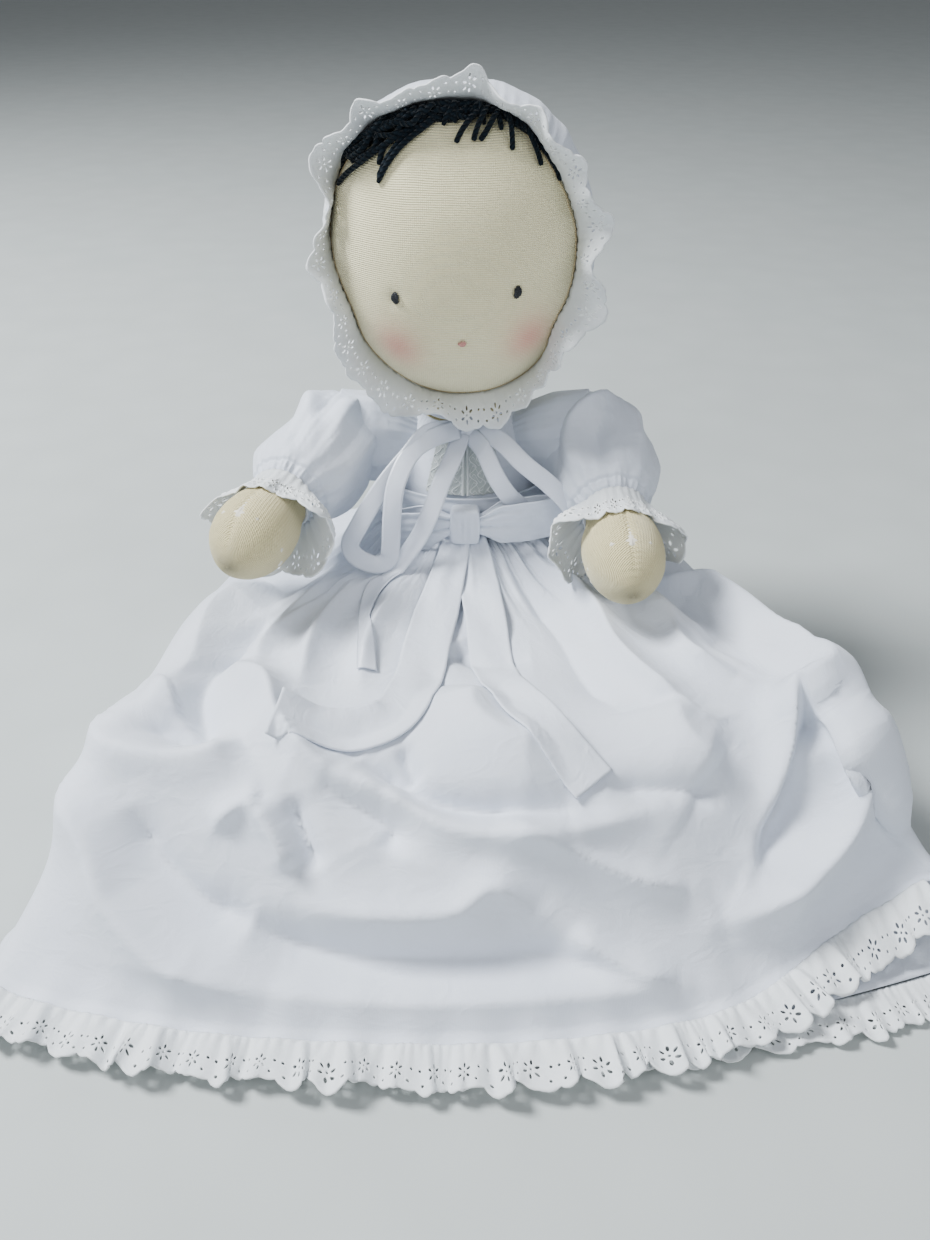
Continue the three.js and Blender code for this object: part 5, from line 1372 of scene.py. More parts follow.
t = np.linspace(0, 1, under_rows + 1)[None, 1:]
hem_line = smooth_curve([(-0.7, -0.76)] + back_hem[1:-1] + [(0.8, -0.82)], edge_steps) * skirt_reach
hem_x, hem_y = edge_at(u, hem_line)
swell = 1 + 0.04 * np.sin(np.pi * t)
ripples = 0.9 + 1.1 * gathers(u + 0.02 * np.sin(4 * t), 21, 34, 1.0) * np.sin(np.pi * t) ** 0.5
show = np.clip((u - 0.72) / 0.15, 0, 1) * np.clip((t - 0.45) / 0.3, 0, 1)
ripples = ripples + show * (3.5 * gathers(u + 0.15 * t, 14, 35, 1.2))
under = np.stack([between(x, hem_x, t) * swell, between(y, hem_y, t), 1.0 + ripples], -1)
back_surface = np.concatenate([wall, under], axis=1)
back_surface[..., 2] = np.maximum(back_surface[..., 2], 1.1)
skirt_back = cloth("skirt_back_cloth", back_surface, 0.9, lawn)
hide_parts("skirt_back")
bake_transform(skirt_back)
print("back panel", [round(size, 3) for size in skirt_back.dimensions])

# %% [markdown]
# The hem's ruffle is pleated eyelet. Its root follows the hem, and its scalloped edge spreads out.
# Each wave draws its own width and height, because even waves look made by a machine.

# %% Hem ruffles
pleat_rows = 22
front_tiles = 32
back_tiles = 29
hem_tile_height = 24.0


def pleated(root, outward, width, waves, wave, seed):
    """A pleated ruffle from a root line, out by a width in mm, with uneven waves."""
    own = np.random.default_rng(seed)
    count = len(root)
    u = np.linspace(0, 1, count)[:, None]
    v = np.linspace(0, 1, pleat_rows)[None, :]
    knots = np.arange(waves + 1)
    ends = np.cumsum(own.uniform(0.35, 1.65, waves + 1))
    place = np.interp(u, (ends - ends[0]) / (ends[-1] - ends[0]), knots)
    phase = 2 * np.pi * place
    size = np.interp(place, knots, own.uniform(0.15, 1.5, waves + 1))
    fall = np.interp(place, knots, own.uniform(-1, 1, waves + 1))
    along = unit(np.gradient(root, axis=0))[:, None]
    lift = wave * size * (0.9 + np.sin(phase + 0.8 * np.sin(phase)))
    lift = lift * (0.35 + 0.65 * v) * np.clip(v / 0.12, 0, 1)
    gathered = 0.8 * np.sin(2 * np.pi * 3.3 * place) * np.exp(-v / 0.3) * np.clip(v / 0.05, 0, 1)
    lift = lift + gathered + 0.4 * wave * (1 + np.sin(2.3 * phase)) * v * (size - 0.35)
    shift = 0.7 * wave * size * np.sin(phase + 1.2) * v
    reach = width * v * (1 + 0.09 * np.cos(phase) * size + 0.1 * fall)
    up = np.array([0, 0, 1.0])
    return (
        root[:, None] + outward[:, None] * reach[..., None]
        + up * lift[..., None] + along * shift[..., None]
    )


def outward_from(root):
    """The level direction away from the doll at each point of a hem, turned a little to the front."""
    tangent = unit(np.gradient(root, axis=0))
    return unit(np.cross(tangent, [0, 0, 1.0]) * [1, 1, 0] + np.array([0, -0.6, 0]))


def columns_at(turns):
    """The shares across the skirt's grid at which turns lie."""
    return np.interp(turns, skirt_turns, np.linspace(0, 1, skirt_columns))


ruffle_start, ruffle_end = 5 / 16, 11 / 16
hem_steps = 700
hem_turns = turn_of_arc(hem_steps, ruffle_start, ruffle_end)
hem_root = at_grid(front_surface, columns_at(hem_turns), np.full(hem_steps, 1.0))
hem_outward = outward_from(hem_root)
hem_root = hem_root - hem_outward + [0, 0, 0.2]
lifted = np.clip((hem_root[:, 2] - 6) / 12, 0, 1)
front_ruffle = pleated(hem_root, hem_outward, 23, 27, 2.5, 41)
front_ruffle[..., 2] -= (lifted[:, None] * np.linspace(0, 1, pleat_rows)[None] ** 1.2) * 9
front_ruffle[..., 2] = np.maximum(front_ruffle[..., 2], 1.0)
hem_trim_front = trim("hem_ruffle_front_eyelet", front_ruffle, front_tiles, hem_tile_height)
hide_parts("hem_ruffle_front")
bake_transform(hem_trim_front)

back_root = np.stack([*edge_at(np.linspace(0, 1, 500), hem_line), np.full(500, 1.9)], -1)
back_ruffle = pleated(back_root, outward_from(back_root), 22.5, 30, 1.2, 42)
back_ruffle[..., 2] = np.maximum(back_ruffle[..., 2], 1.0)
hem_trim_back = trim("hem_ruffle_back_eyelet", back_ruffle, back_tiles, hem_tile_height)
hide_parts("hem_ruffle_back")
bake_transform(hem_trim_back)
print("hem ruffles", len(hem_trim_front.data.polygons) + len(hem_trim_back.data.polygons), "faces")

# %% [markdown]
# The bodice is a close-fitting front and two backs of lawn, with small gathers at the neck and waist.
# A lace panel lies down its middle, with two narrow tucks and a pattern of vines in its threads.
# All are grids on one oval form, so that they meet at their seams.

# %% Bodice
def bodice_panel(name, first, last, columns, seed):
    """A panel of the bodice between two angles, with gathers at its top and its foot."""
    u, v = grid_of(columns, 70)
    small = 0.9 * gathers(u, int(columns / 9), seed) * (np.exp(-v / 0.12) + np.exp(-(1 - v) / 0.14))
    broad = 1.3 * gathers(u + 0.05 * np.sin(4 * v), int(columns / 30), seed + 1, 1.0) * np.sin(np.pi * v)
    ends = np.clip(np.minimum(u, 1 - u) / 0.03, 0, 1)
    surface = bodice_point(between(first, last, u), v, cloth_thickness - 0.5 + (small + broad) * ends)
    return cloth(name, surface, 0.8, lawn, "torso")


back_opening = math.pi
seam = seam_gap / waist_half_width
bodice_front = bodice_panel("bodice_front_cloth", -bodice_seam_angle, bodice_seam_angle, 260, 51)
bodice_left = bodice_panel(
    "bodice_back_left_cloth", bodice_seam_angle + 2 * seam, back_opening - seam, 130, 52,
)
bodice_right = bodice_panel(
    "bodice_back_right_cloth", back_opening + seam, 2 * math.pi - bodice_seam_angle - 2 * seam, 130, 53,
)
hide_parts("bodice_front")
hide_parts("bodice_back_left")
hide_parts("bodice_back_right")

neckband_height = 3
neckband_stand = 1.4
u, v = grid_of(120, 12)
turned = 2 * np.pi * u * 119 / 120
height = waist_height + bodice_height + cloth_thickness + neckband_height * v
stand = neckband_stand + 0.5 * np.sin(2 * np.pi * 30 * u) * v
half_width = waist_half_width * bodice_width_shares[-1] + stand
half_depth = waist_half_depth * bodice_depth_shares[-1] + stand
neck_edge = np.stack([
    half_width * np.cos(turned), torso_back(height) + half_depth * np.sin(turned), height,
], -1)
neckband = cloth("neckband_cloth", neck_edge, 1.0, lawn, "torso", wrapped=True)
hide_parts("neckband")
print("bodice made")

# %% Lace panel
lace_foot = (sash_width - sash_drop + seam_gap) / bodice_height
lace_half_angles = (math.radians(31), math.radians(26))
u, v = grid_of(230, 190)
half = between(*lace_half_angles, v)
across, down = (u - 0.5) * 2, v
vine = np.abs(np.sin(np.pi * (across * 4.5 + 0.42 * np.sin(2 * np.pi * down * 4.2))))
curl = np.abs(np.sin(np.pi * (down * 8 + 0.5 * np.sin(2 * np.pi * across * 3.1))))
buds = bell(vine / 0.2) + 0.8 * bell(curl / 0.16) * (vine > 0.25)
net = 0.35 * np.abs(np.sin(np.pi * (across * 26 + down * 22)) * np.sin(np.pi * (across * 26 - down * 22)))
tucks = sum(bell((across - place) / 0.035) for place in (-0.05, 0.07))
valley = bell((across - 0.01) / 0.03)
figure = np.clip(buds, 0, 1) * (1 - np.clip(tucks + valley, 0, 1))
stand = cloth_thickness + 2 * seam_gap + 0.5 + 0.5 * figure + 0.25 * net + 1.2 * tucks - 0.3 * valley
surface = bodice_point(between(-half, half, u), between(lace_foot, 1, v), stand)
thread = np.clip(figure + 0.6 * tucks, 0, 1)
lace_panel = cloth("lace_panel_lace", surface, 0.7, lace, "torso", raised=thread)
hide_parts("lace_panel")
print("lace panel", [round(size, 3) for size in lace_panel.dimensions])

# %% [markdown]
# The sash goes round the waist. Its bow is one folded band, held by a narrow wrap:
# each loop is flat, gathered at the knot and folded square at its end. The knot is a rounded box.

# %% Sash and bow
sash_bottom = waist_height - sash_drop
sash_thickness = 1.8


def soft_box(name, middle, half, power, material, relief):
    """A small closed form between a box and an egg, with relief(turn, tilt) in mm."""
    turn, tilt = ring_grid(96, 60)
    turn, tilt = -2 * np.pi * turn, np.pi * (0.01 + 0.98 * tilt)
    directions = ball(turn, tilt)
    reach = (np.abs(directions / half) ** power).sum(-1, keepdims=True) ** (-1 / power)
    points = np.array(middle) + directions * (reach + relief(turn, tilt)[..., None])
    return closed_form(name, points, material, "torso")


u, v = grid_of(300, 26)
turned = 2 * np.pi * u * 299 / 300
height = sash_bottom + sash_width * v
soft = 0.5 * gathers(u, 23, 61, 1.0) * np.sin(np.pi * v) + 0.5 * np.sin(2 * np.pi * (2.5 * v + 2 * u))
fold = 0.5 * bell((v - 0.04) / 0.03) + 0.5 * bell((v - 0.96) / 0.03)
stand = cloth_thickness + seam_gap + 1.2 + soft + fold
band = np.stack([
    (waist_half_width + stand) * np.cos(turned),
    torso_back(height) + (waist_half_depth + seam_gap + stand) * np.sin(turned), height,
], -1)
sash = cloth("sash_band_cloth", band, 1.2, lawn, "torso", wrapped=True)
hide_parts("sash_band")

sash_middle = sash_bottom + sash_width / 2
bodice_stand = waist_half_depth + cloth_thickness + 3 * seam_gap
sash_front = torso_back(sash_middle) - bodice_stand - sash_thickness
knot_depth, knot_width, knot_height = 11, 16.5, 21
knot_middle = (0, sash_front - knot_depth / 2, sash_middle)
knot = soft_box(
    "sash_knot_cloth", knot_middle, np.array([knot_width, knot_depth, knot_height]) / 2, 7.5, lawn,
    lambda turn, tilt: 0.4 * np.sin(11 * turn + 1) * np.sin(tilt) ** 2 + 0.2 * np.sin(5 * tilt),
)
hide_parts("sash_knot")

loop_lengths = {"right": 38, "left": 48}
loop_droops = {"right": 6, "left": -5}
loop_backset = 4.0
for side, sign in signs.items():
    u, v = ring_grid(220, 40)
    turned = 2 * np.pi * u
    outer_share = np.clip((1 - np.cos(turned)) / 2 * 1.04, 0, 1)
    along = loop_lengths[side] * outer_share
    opening = np.clip(along / 16, 0, 1)
    opening = between(0.5, 1, opening * opening * (3 - 2 * opening))
    bulge = 3.4 * np.sin(turned) * (0.55 + 0.45 * np.sin(np.pi * outer_share))
    pleats = 1.5 * np.exp(-along / 9) * np.sin(2 * np.pi * 2.5 * v + 0.6)
    pleats = pleats + 0.5 * np.exp(-along / 22) * np.sin(2 * np.pi * 5 * v)
    pleats = pleats + 0.35 * np.sin(2 * np.pi * (along / 17 + 0.7 * v)) * np.clip(along / 14, 0, 1)
    face_sign = np.sign(np.sin(turned) - 0.001)
    loop_front = sash_front - knot_depth / 2 - 1.2 + loop_backset * outer_share
    surface = np.stack([
        sign * (knot_width / 2 - 1.5 + along), loop_front + bulge - pleats * face_sign,
        sash_middle - loop_droops[side] * outer_share + (v - 0.5) * sash_width * opening,
    ], -1)
    if sign < 0:
        surface = surface[::-1]
    loop = cloth("bow_loop_" + side + "_cloth", surface, 0.9, lawn, "torso", wrapped=True)
    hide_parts("bow_loop_" + side)
print("bow made")

# %% [markdown]
# A ribbon or a tail is a strip along a smooth line. Its broad side faces a given way and may twist.
# Where it reaches the skirt it rests on the cloth: it bridges the valleys and lies on the ridges.

# %% Strips
def strip(points, width, facing, twists=(0, 0), columns=9, rows=220):
    """A grid along a smooth line through points, its width turned by the twists, in degrees."""
    line = smooth_curve(points, rows)
    along = unit(np.gradient(line, axis=0))
    across = unit(np.cross(along, np.broadcast_to(np.array(facing, float), line.shape)))
    front = np.cross(across, along)
    twist = np.radians(np.interp(np.linspace(0, 1, rows), np.linspace(0, 1, len(twists)), twists))[:, None]
    across = across * np.cos(twist) + front * np.sin(twist)
    shares = np.linspace(-0.5, 0.5, columns)[:, None, None]
    return line[None] + across[None] * shares * width


def skirt_height(points):
    """The height of the skirt's front under each point."""
    flat = front_surface[::2, ::2].reshape(-1, 3)
    heights = []
    for spot in points.reshape(-1, 3):
        away = ((flat[:, :2] - spot[:2]) ** 2).sum(1)
        near = np.argpartition(away, 6)[:6]
        weight = 1 / (away[near] + 0.4)
        heights.append((flat[near, 2] * weight).sum() / weight.sum())
    return np.array(heights).reshape(points.shape[:-1])


def resting(grid, stand, stiffness):
    """The same strip, raised where it would lie in the skirt, and smoothed along its length."""
    under = skirt_height(grid)
    window = np.hanning(2 * stiffness + 1)
    window /= window.sum()
    smoothed = np.stack([np.convolve(np.pad(row, stiffness, mode="edge"), window, "valid") for row in under])
    held = np.maximum(grid[..., 2], np.maximum(smoothed, under - 0.2) + stand)
    return np.stack([grid[..., 0], grid[..., 1], held], -1)


def on_skirt(places, stand):
    """Points above the skirt's front from pairs of turn and share."""
    places = np.array(places, float)
    return at_grid(front_surface, columns_at(places[:, 0]), places[:, 1]) + [0, 0, stand]


# %% Sash tails
tail_width = 23
tail_columns, tail_rows = 17, 170
tail_places = {
    "right": [
        (0.468, 0.05), (0.455, 0.13), (0.45, 0.22), (0.449, 0.33), (0.45, 0.42), (0.449, 0.5), (0.443, 0.57),
        (0.425, 0.602), (0.405, 0.615), (0.385, 0.62),
    ],
    "left": [
        (0.52, 0.05), (0.513, 0.13), (0.508, 0.25), (0.505, 0.37), (0.508, 0.5), (0.518, 0.61),
        (0.535, 0.715),
    ],
}
tail_starts = {"right": -5.0, "left": 6.0}
tail_width_shares = {"right": (0.55, 1.05), "left": (0.5, 0.95)}
for side in signs:
    start = [tail_starts[side], sash_front - 3.5, sash_bottom + 4]
    line = np.concatenate([[start], on_skirt(tail_places[side], 3.0)])
    line[1, 1] -= 1.5
    grid = strip(line, tail_width, (0, -0.5, 1), columns=tail_columns, rows=tail_rows)
    middle = grid.mean(0, keepdims=True)
    u, v = grid_of(tail_columns, tail_rows)
    grid = middle + (grid - middle) * between(*tail_width_shares[side], np.clip(v / 0.3, 0, 1))[..., None]
    gathered = 1.2 * np.sin(2 * np.pi * 2 * u) * np.exp(-v / 0.12)
    gathered = gathered + 0.5 * np.sin(2 * np.pi * (3 * v + u))
    tail = resting(grid, 1.9, 9) + np.array([0, -0.4, 1]) * gathered[..., None]
    piece = cloth("sash_tail_" + side + "_cloth", tail, 0.9, lawn)
    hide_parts("sash_tail_" + side)
    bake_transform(piece)
    print(side, "tail", [round(size, 3) for size in piece.dimensions])

# %% [markdown]
# The bonnet's ribbons are tied under the chin. They are satin, ten millimetres wide.
# On the doll's right one loop hangs low and a long tail runs over the bow on to the skirt.

# %% Ribbons
ribbon_width = 10.3
ribbon_knot_middle = bodice_point(0, 1.0, cloth_thickness + 0.8 + 5 * seam_gap + 3)
ribbon_knot = soft_box(
    "ribbon_knot_satin", ribbon_knot_middle, np.array([12.4, 6, 8.6]) / 2, 3.0, satin,
    lambda turn, tilt: 0.4 * np.sin(5 * turn + 3 * tilt),
)
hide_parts("ribbon_knot")

knot_x, knot_y, knot_z = ribbon_knot_middle
ribbon_lines = {
    # points of the line in mm, the way its face looks, and its twists in degrees
    "ribbon_loop_right": (
        [(knot_x - 4, knot_y - 1, knot_z), (-20, -29, 171), (-31, -37, 161), (-42, -44, 150), (-52, -50, 137),
         (-59, -54, 126), (-63.5, -55.5, 117), (-61.5, -56.5, 110.5), (-55, -57, 106), (-48, -57, 104.5),
         (-42.5, -57, 108), (-41, -56.5, 116), (-40, -54, 132), (-37.5, -48, 149), (-30, -38, 162),
         (-19, -31, 168.5), (knot_x - 3, knot_y - 4, knot_z + 1)],
        (0, -1, 0.3), (0, 10, 4, -10, -4, 8, 0, -6, 6, 12, 0),
    ),
    "ribbon_tail_right": (
        [(knot_x - 2, knot_y - 2.5, knot_z - 2), (-6, -28, 158), (-13, -42, 147), (-19, -50, 133),
         (-26, -53, 119), (-38, -57, 103), (-50, -70, 90), (-54, -92, 86), (-51, -118, 84), (-49, -140, 82)],
        (0, -0.75, 0.66), (0, 0, 5, 0, -8, -10, -45, -55, -20, 0),
    ),
    "ribbon_tail_left": (
        [(knot_x + 2, knot_y - 2, knot_z - 2), (10, -26, 160), (17, -35, 148), (24, -38, 138), (31, -36, 130),
         (36, -35, 122)],
        (0, -1, 0.3), (0, -6, 0, 4, 0),
    ),
    "ribbon_loop_left": (
        [(knot_x + 4, knot_y - 1, knot_z), (19, -27, 166), (32, -38, 157), (46, -43, 147), (57, -46, 136),
         (60.5, -48, 124), (60, -50, 112), (62, -58, 102)],
        (0, -1, 0.3), (0, 6, -4, 0, 25, 40, 20, 0),
    ),
}
ribbons_on_the_lap = ("ribbon_tail_right", "ribbon_loop_left")
for name, (points, facing, twists) in ribbon_lines.items():
    grid = strip(points, ribbon_width, facing, twists)
    if name in ribbons_on_the_lap:
        grid = resting(grid, 1.6, 6)
    edges = 0.12 * np.cos(np.pi * np.linspace(-1, 1, len(grid)))[:, None]
    grid = grid + np.array([0, -1, 0.3]) * edges[..., None]
    piece = cloth(name + "_satin", grid, 0.4, satin, "torso")
    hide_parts(name)

# %% [markdown]
# Each arm points forward from its shoulder, turned out and down. It is made as on a lathe, from radii
# along its length, in a frame of its own that has the arm along -Y.
# The hand is a plain mitten of velour, with a seam along its top and knit that slants to the seam.

# %% Arms
arm_length = 124
arm_stations = [
    0.14, 0.1, 0, -0.2, -0.42, -0.57, -0.63, -0.69, -0.76, -0.83, -0.9, -0.95, -0.985, -1.01, -1.025,
]
arm_radii = [8, 15.2, 20, 18.4, 15.6, 15, 16.9, 19.9, 21.2, 20.9, 18.8, 15.2, 11.2, 6.6, 0.4]
tip_station = -0.985
arm_outs = {"right": math.radians(21), "left": math.radians(5)}
hand_heights = {"right": 49.5, "left": 35}
shoulder_height = torso_top - 19
shoulder_places = {"right": (-75.0, 8), "left": (75.0, 8)}


def arm_frame(side):
    """The turn and the shoulder of an arm."""
    drop = math.asin((shoulder_height - lap_height - hand_heights[side]) / arm_length)
    turn = Matrix.Rotation(signs[side] * arm_outs[side], 3, "Z") @ Matrix.Rotation(drop, 3, "X")
    return np.array(turn), np.array([*shoulder_places[side], shoulder_height])


def on_arm(side, local):
    """Points of an arm's own frame in the row frame."""
    turn, shoulder = arm_frame(side)
    return local @ turn.T + shoulder


def chevron_place(tree):
    """A place on the hand, in metres, whose rows slant down from the seam on both sides."""
    parts = add_node(tree, "ShaderNodeSeparateXYZ", {0: flat_place(tree)}).outputs
    aside = calculate(tree, "ABSOLUTE", calculate(tree, "SUBTRACT", parts["X"], hand_girth / 2))
    slant = calculate(tree, "ADD", parts["Y"], calculate(tree, "MULTIPLY", aside, -0.75))
    return add_node(tree, "ShaderNodeCombineXYZ", {0: parts["X"], 2: slant}).outputs[0]


u, v = ring_grid(128, 130)
fine = np.linspace(0, 1, 300)
station = np.interp(v, fine, np.interp(fine, np.linspace(0, 1, len(arm_stations)), arm_stations))
profile_places = np.linspace(arm_stations[-1], arm_stations[0], 500)
profile = np.interp(profile_places, arm_stations[::-1], arm_radii[::-1])
window = np.hanning(27)
rounded = np.convolve(np.pad(profile, 13, mode="edge"), window / window.sum(), "valid")
radius = np.interp(station, profile_places, np.where(profile_places < tip_station, profile, rounded))
turned = np.pi - 2 * np.pi * u
away = np.abs(np.angle(np.exp(1j * turned)))
near_tip = np.clip(radius / 14, 0, 1) ** 2
seam_pull = 0.6 * near_tip * bell(away * radius / 1.3) * np.clip((-station - 0.55) / 0.1, 0, 1)
stitch_spacing = 2.4
stitch_wave = np.sin(station * arm_length * 2 * np.pi / stitch_spacing)
puckers = 0.35 * near_tip * bell(away * radius / 5) * stitch_wave
lumps = 0.3 + 0.3 * np.sin(3 * turned + 9 * station)
skin = radius - seam_pull + puckers + lumps * np.clip(radius / 20, 0, 1)
local = np.stack([skin * np.sin(turned), station * arm_length, skin * np.cos(turned)], -1)
hand_girth = float(lengths_of(np.concatenate([local, local[:1]]))[0][-1]) * mm
# The hand's dark tone is the painted shade between the knit rows, as on the face.
hand_recipe = velour_recipe((0.60, 0.51, 0.27), (0.84, 0.77, 0.49), 800.0, place=chevron_place)
hand_velour = finish("hand_velour", hand_recipe, 0.95, 0.0007, Sheen_Weight=0.3)
for side in signs:
    arm = closed_form(side + "_arm_velour", on_arm(side, local), hand_velour, side + "_arm")
    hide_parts(side + "_arm_skin")
print("hand girth", round(hand_girth / mm), "mm")

# %% [markdown]
# The sleeves are puffed and long to the wrist, with a few broad folds. Each is gathered to a casing
# over its elastic. Its folds are heights on a tube, drawn as lines like those of the skirt.

# %% Sleeves
sleeve_radius = 26
sleeve_length = 0.57 * arm_length
sleeve_stations = [0.3, 0.26, 0.18, 0.06, -0.05, -0.2, -0.4, -0.6, -0.74, -0.81, -0.85, -0.89, -1]
sleeve_radii = [0.8, 13, 21, 26, 27.6, 28.4, 28.6, 27.4, 24.8, 21.6, 18.4, 17, 16.8]
casing_share = 0.893
fold_length = 92
tube_fold_steps = 50
tube_fold_strength = 1.25
sleeve_folds = {
    # depth in mm, width in mm, line of (share round from below, share along)
    "right": [
        (4.5, 6, [(0.62, 0.12), (0.55, 0.3), (0.5, 0.5), (0.46, 0.8)]),
        (-4, 6, [(0.68, 0.2), (0.62, 0.45), (0.56, 0.8)]),
        (3.5, 5, [(0.4, 0.1), (0.42, 0.35), (0.38, 0.75)]), (-3, 5, [(0.46, 0.25), (0.5, 0.6), (0.47, 0.85)]),
        (4, 6, [(0.75, 0.15), (0.74, 0.5), (0.66, 0.85)]), (3, 6, [(0.27, 0.1), (0.3, 0.5), (0.28, 0.85)]),
        (3.5, 6, [(0.1, 0.1), (0.12, 0.5), (0.1, 0.85)]), (3, 6, [(0.9, 0.1), (0.88, 0.5), (0.9, 0.85)]),
    ],
    "left": [
        (5, 5, [(0.42, 0.08), (0.5, 0.22), (0.6, 0.42), (0.62, 0.7), (0.55, 0.88)]),
        (-4.5, 6, [(0.5, 0.35), (0.54, 0.6), (0.5, 0.85)]),
        (4, 6, [(0.36, 0.15), (0.4, 0.45), (0.42, 0.85)]), (-3, 6, [(0.64, 0.12), (0.7, 0.4), (0.7, 0.7)]),
        (4, 7, [(0.76, 0.1), (0.8, 0.5), (0.74, 0.85)]), (3.5, 6, [(0.24, 0.12), (0.26, 0.5), (0.3, 0.85)]),
        (3, 6, [(0.08, 0.1), (0.1, 0.5), (0.12, 0.85)]), (3, 6, [(0.9, 0.1), (0.93, 0.5), (0.9, 0.85)]),
    ],
}


def tube_folds(u, v, girth, length, folds):
    """The heights of folds on a tube, from lines in shares round it and along it."""
    height = np.zeros(u.shape)
    for depth, width, line in folds:
        path = smooth_curve(line, tube_fold_steps)
        round_gap = (u[..., None] - path[:, 0] + 0.5) % 1 - 0.5
        away = np.hypot(round_gap * girth, (v[..., None] - path[:, 1]) * length)
        index = away.argmin(-1)
        taper = np.clip(np.minimum(index, tube_fold_steps - 1 - index) / 17, 0.1, 1)
        height += tube_fold_strength * depth * taper * np.exp(-((away.min(-1) / width) ** 1.8))
    return height


def make_sleeve(side):
    """A sleeve from its head to the edge past its casing."""
    u, v = ring_grid(240, 150)
    steps = np.linspace(0, 1, len(sleeve_stations))
    station = np.interp(v, steps, sleeve_stations)
    radius = eased(steps, sleeve_radii, v)
    along = (sleeve_stations[0] - station) / (sleeve_stations[0] - sleeve_stations[-1])
    from_casing = np.abs(along - casing_share)
    cuff_gathers = 1.6 * gathers(u, 34, 71) * (np.exp(-from_casing / 0.05) - 0.2)
    long_gathers = 2.4 * gathers(u + 0.02 * np.sin(6 * v), 15, 72, 1.0) * np.exp(-from_casing / 0.14)
    head_gathers = 1.6 * gathers(u, 21, 73) * np.exp(-along / 0.16) * np.clip(along / 0.06, 0, 1)
    ripple = (cuff_gathers + long_gathers) * np.clip((0.95 - along) / 0.035, 0, 1) + head_gathers
    folds = tube_folds(u, along, 2 * np.pi * sleeve_radius, fold_length, sleeve_folds[side])
    radius = radius + ripple + folds * np.clip(along / 0.15, 0, 1) * np.clip((0.88 - along) / 0.12, 0, 1)
    casing = sum(0.8 * bell((along - casing_share - gap) / 0.008) for gap in (-0.027, 0.027))
    turned = np.pi - 2 * np.pi * u
    sag = 1.6 * np.sin(np.pi * along)
    radius = radius - casing
    local = np.stack([radius * np.sin(turned), station * sleeve_length, radius * np.cos(turned) - sag], -1)
    placed = on_arm(side, local)
    sleeve = cloth(side + "_sleeve_cloth", placed, 0.8, lawn, side + "_arm", wrapped=True)
    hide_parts(side + "_sleeve")


# %% [markdown]
# A short piece of lawn joins the sleeve to the bodice, and inside it a soft gusset joins the arm to the
# body. Both blend across the shoulder.

# %% Sleeve heads and gussets
head_steps = [0, 0.3, 0.6, 1]
head_heights = [12, 20.5, 24.5, 25.5]
head_depths = [11, 18, 22.5, 25.5]
head_middles = [(22, 71), (torso_back(150) - 3, 8), (147, shoulder_height)]
gusset_place, gusset_half = (58, 8, shoulder_height + 2), [25.5, 8.8, 8.8]


def make_sleeve_head(side):
    """The piece between the bodice and the sleeve."""
    sign = signs[side]
    u, v = ring_grid(200, 60)
    turned = 2 * np.pi * u
    ripple = 1.4 * gathers(u, 23, 74) * np.exp(-v / 0.22)
    ripple = ripple + 2.4 * gathers(u + 0.03 * v, 8, 75, 1.0) * np.sin(np.pi * v)
    half_height = eased(head_steps, head_heights, v) + ripple
    half_depth = eased(head_steps, head_depths, v) + ripple
    middle_x, middle_y, middle_z = (between(*ends, v) for ends in head_middles)
    surface = np.stack([
        sign * middle_x, middle_y + half_depth * np.cos(turned), middle_z + half_height * np.sin(turned),
    ], -1)
    if sign < 0:
        surface = surface[::-1]
    head = cloth(side + "_sleeve_head_cloth", surface, 0.8, lawn, wrapped=True)
    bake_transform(head)


def make_gusset(side):
    """The soft ball in the shoulder."""
    sign = signs[side]
    turn, tilt = ring_grid(60, 40)
    around = ball(-2 * np.pi * turn, np.pi * (0.01 + 0.98 * tilt))
    rings = np.array(gusset_place) * [sign, 1, 1] + around * gusset_half
    gusset = closed_form(side + "_gusset_velour", rings, velour)
    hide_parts(side + "_shoulder_gusset")
    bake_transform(gusset)


# %% [markdown]
# Each cuff is a ruffle of eyelet. It lies close over the hand and flares out below, so its radius runs
# from one profile to another with the distance from the top.

# %% Cuffs
cuff_root, cuff_reach, cuff_start, cuff_length = 18, 38.5, -64.3, 23
cuff_tiles = 14
cuff_waves = 9
cuff_tile_height = 22.0


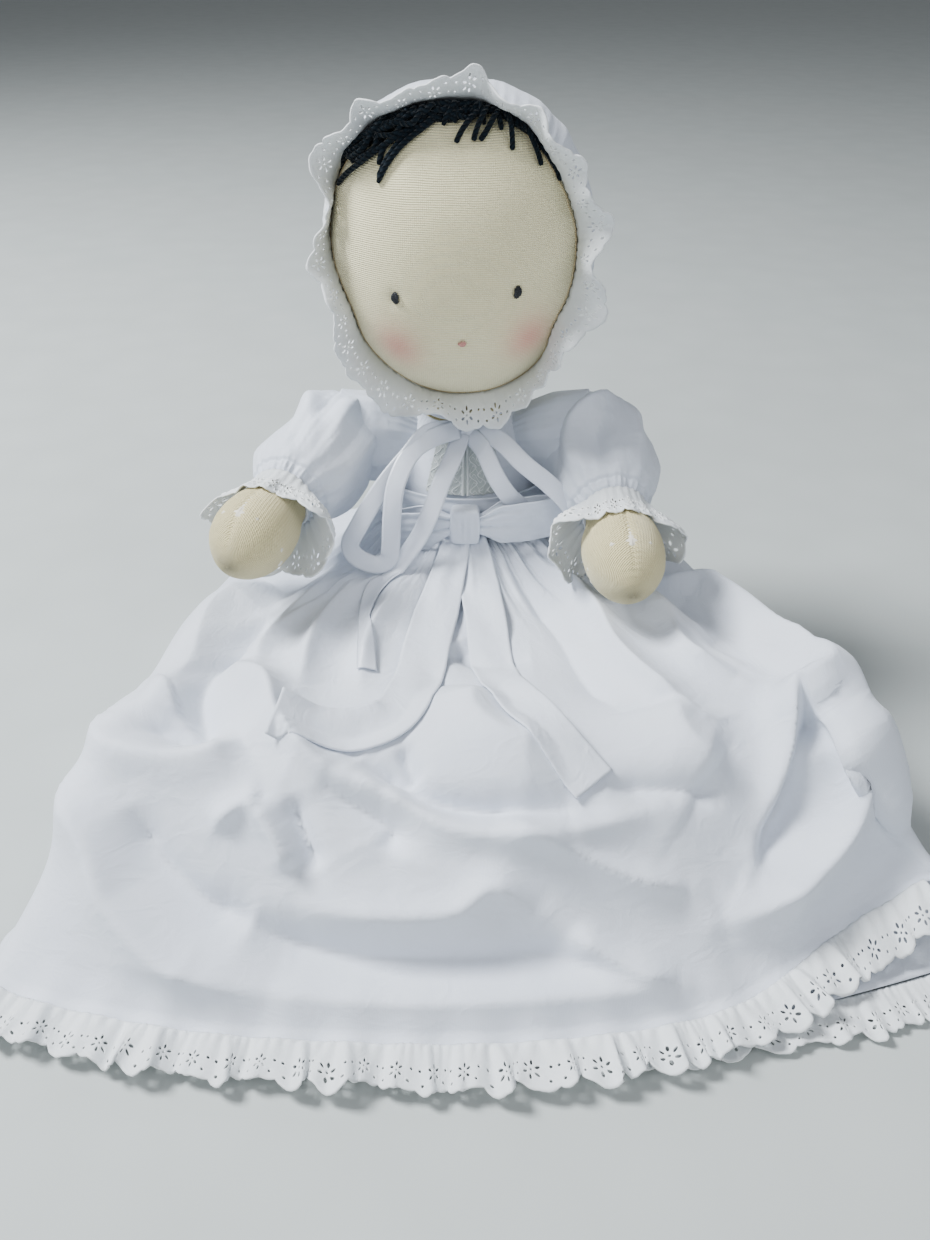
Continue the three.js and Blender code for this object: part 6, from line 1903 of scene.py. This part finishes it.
def make_cuff(side):
    """The ruffle at a sleeve's end."""
    sign = signs[side]
    u, v = ring_grid(361, 26)
    own = np.random.default_rng(80 + sign)
    knots = np.arange(cuff_waves + 1)
    shifts, sizes = own.uniform(-0.25, 0.25, len(knots)), own.uniform(0.6, 1.3, len(knots))
    shifts[-1], sizes[-1] = shifts[0], sizes[0]
    place = u * cuff_waves
    phase = 2 * np.pi * (place + np.interp(place, knots, shifts))
    size = np.interp(place, knots, sizes)
    turned = np.pi - 2 * np.pi * u
    wave = 3.6 * v * np.sin(phase) * size
    small = 0.8 * np.sin(2 * np.pi * 27 * u) * np.exp(-v / 0.45)
    over_hand = cuff_root + eased([0, 0.33, 0.66, 1], [0, 0.4, 1.7, 4.2], v)
    flared = cuff_root + (cuff_reach - cuff_root) * np.sin(v * np.pi / 2) * (1 + 0.05 * np.cos(phase) * size)
    from_top = np.degrees(np.abs(np.angle(np.exp(1j * (turned - sign * 0.15)))))
    flare = np.clip((from_top - 42) / 48, 0, 1)
    flare = flare * flare * (3 - 2 * flare)
    ripple = 0.9 * v * np.sin(2 * np.pi * 11 * u) * (1 - flare)
    spread = between(over_hand, flared, flare) + small * (0.4 + 0.6 * flare) + ripple
    forward = cuff_start - cuff_length * v + wave * flare
    placed = on_arm(side, np.stack([spread * np.sin(turned), forward, spread * np.cos(turned)], -1))
    cuff = trim(side + "_cuff_eyelet", placed, cuff_tiles, cuff_tile_height, side + "_arm", wrapped=True)
    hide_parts(side + "_cuff_ruffle")


for side in signs:
    make_sleeve(side)
    make_sleeve_head(side)
    make_gusset(side)
    make_cuff(side)
print("sleeves and cuffs made")

# %% [markdown]
# The pieces inside keep their solids, because cloth hides them. Each gets its own material's finish.

# %% Finishes of the solids that stay
slot_finishes = {
    "velour": velour, "stuffing": stuffing, "muslin": muslin, "beads": pellets, "cotton": lawn,
    "eyelet": eyelet, "lace": lace, "satin": satin, "yarn": yarn, "thread_black": black_thread,
    "thread_pink": pink_thread, "twine": twine, "elastic": elastic, "button": button,
}
for entry in frame["record"]["subparts"]:
    node = frame["nodes"][entry["node"]]
    node.data.materials.clear()
    node.data.materials.append(slot_finishes[entry["material_slot"]])
print("finishes on", len(frame["nodes"]), "solids")

# %% [markdown]
# Last comes the floor, which is stage and no part of the doll.

# %% Floor and finish
floor_reach = 6.0
floor_gap = 0.0004
floor_corners = [(x * floor_reach, y * floor_reach, 0) for x, y in ((-1, -1), (1, -1), (1, 1), (-1, 1))]
floor_mesh = bpy.data.meshes.new("floor")
floor_mesh.from_pydata(floor_corners, [], [(0, 1, 2, 3)])
floor = bpy.data.objects.new("floor", floor_mesh)
floor.location.z = -floor_gap
bpy.context.scene.collection.objects.link(floor)
# The floor's clumps differ only faintly, so the painted shade in the gaps between them is faint too.
floor_recipe = clumped_recipe((0.50, 0.53, 0.52), (0.53, 0.56, 0.55), 0.05)
floor_mesh.materials.append(finish("pale_floor", floor_recipe, 0.9, 0.0001))
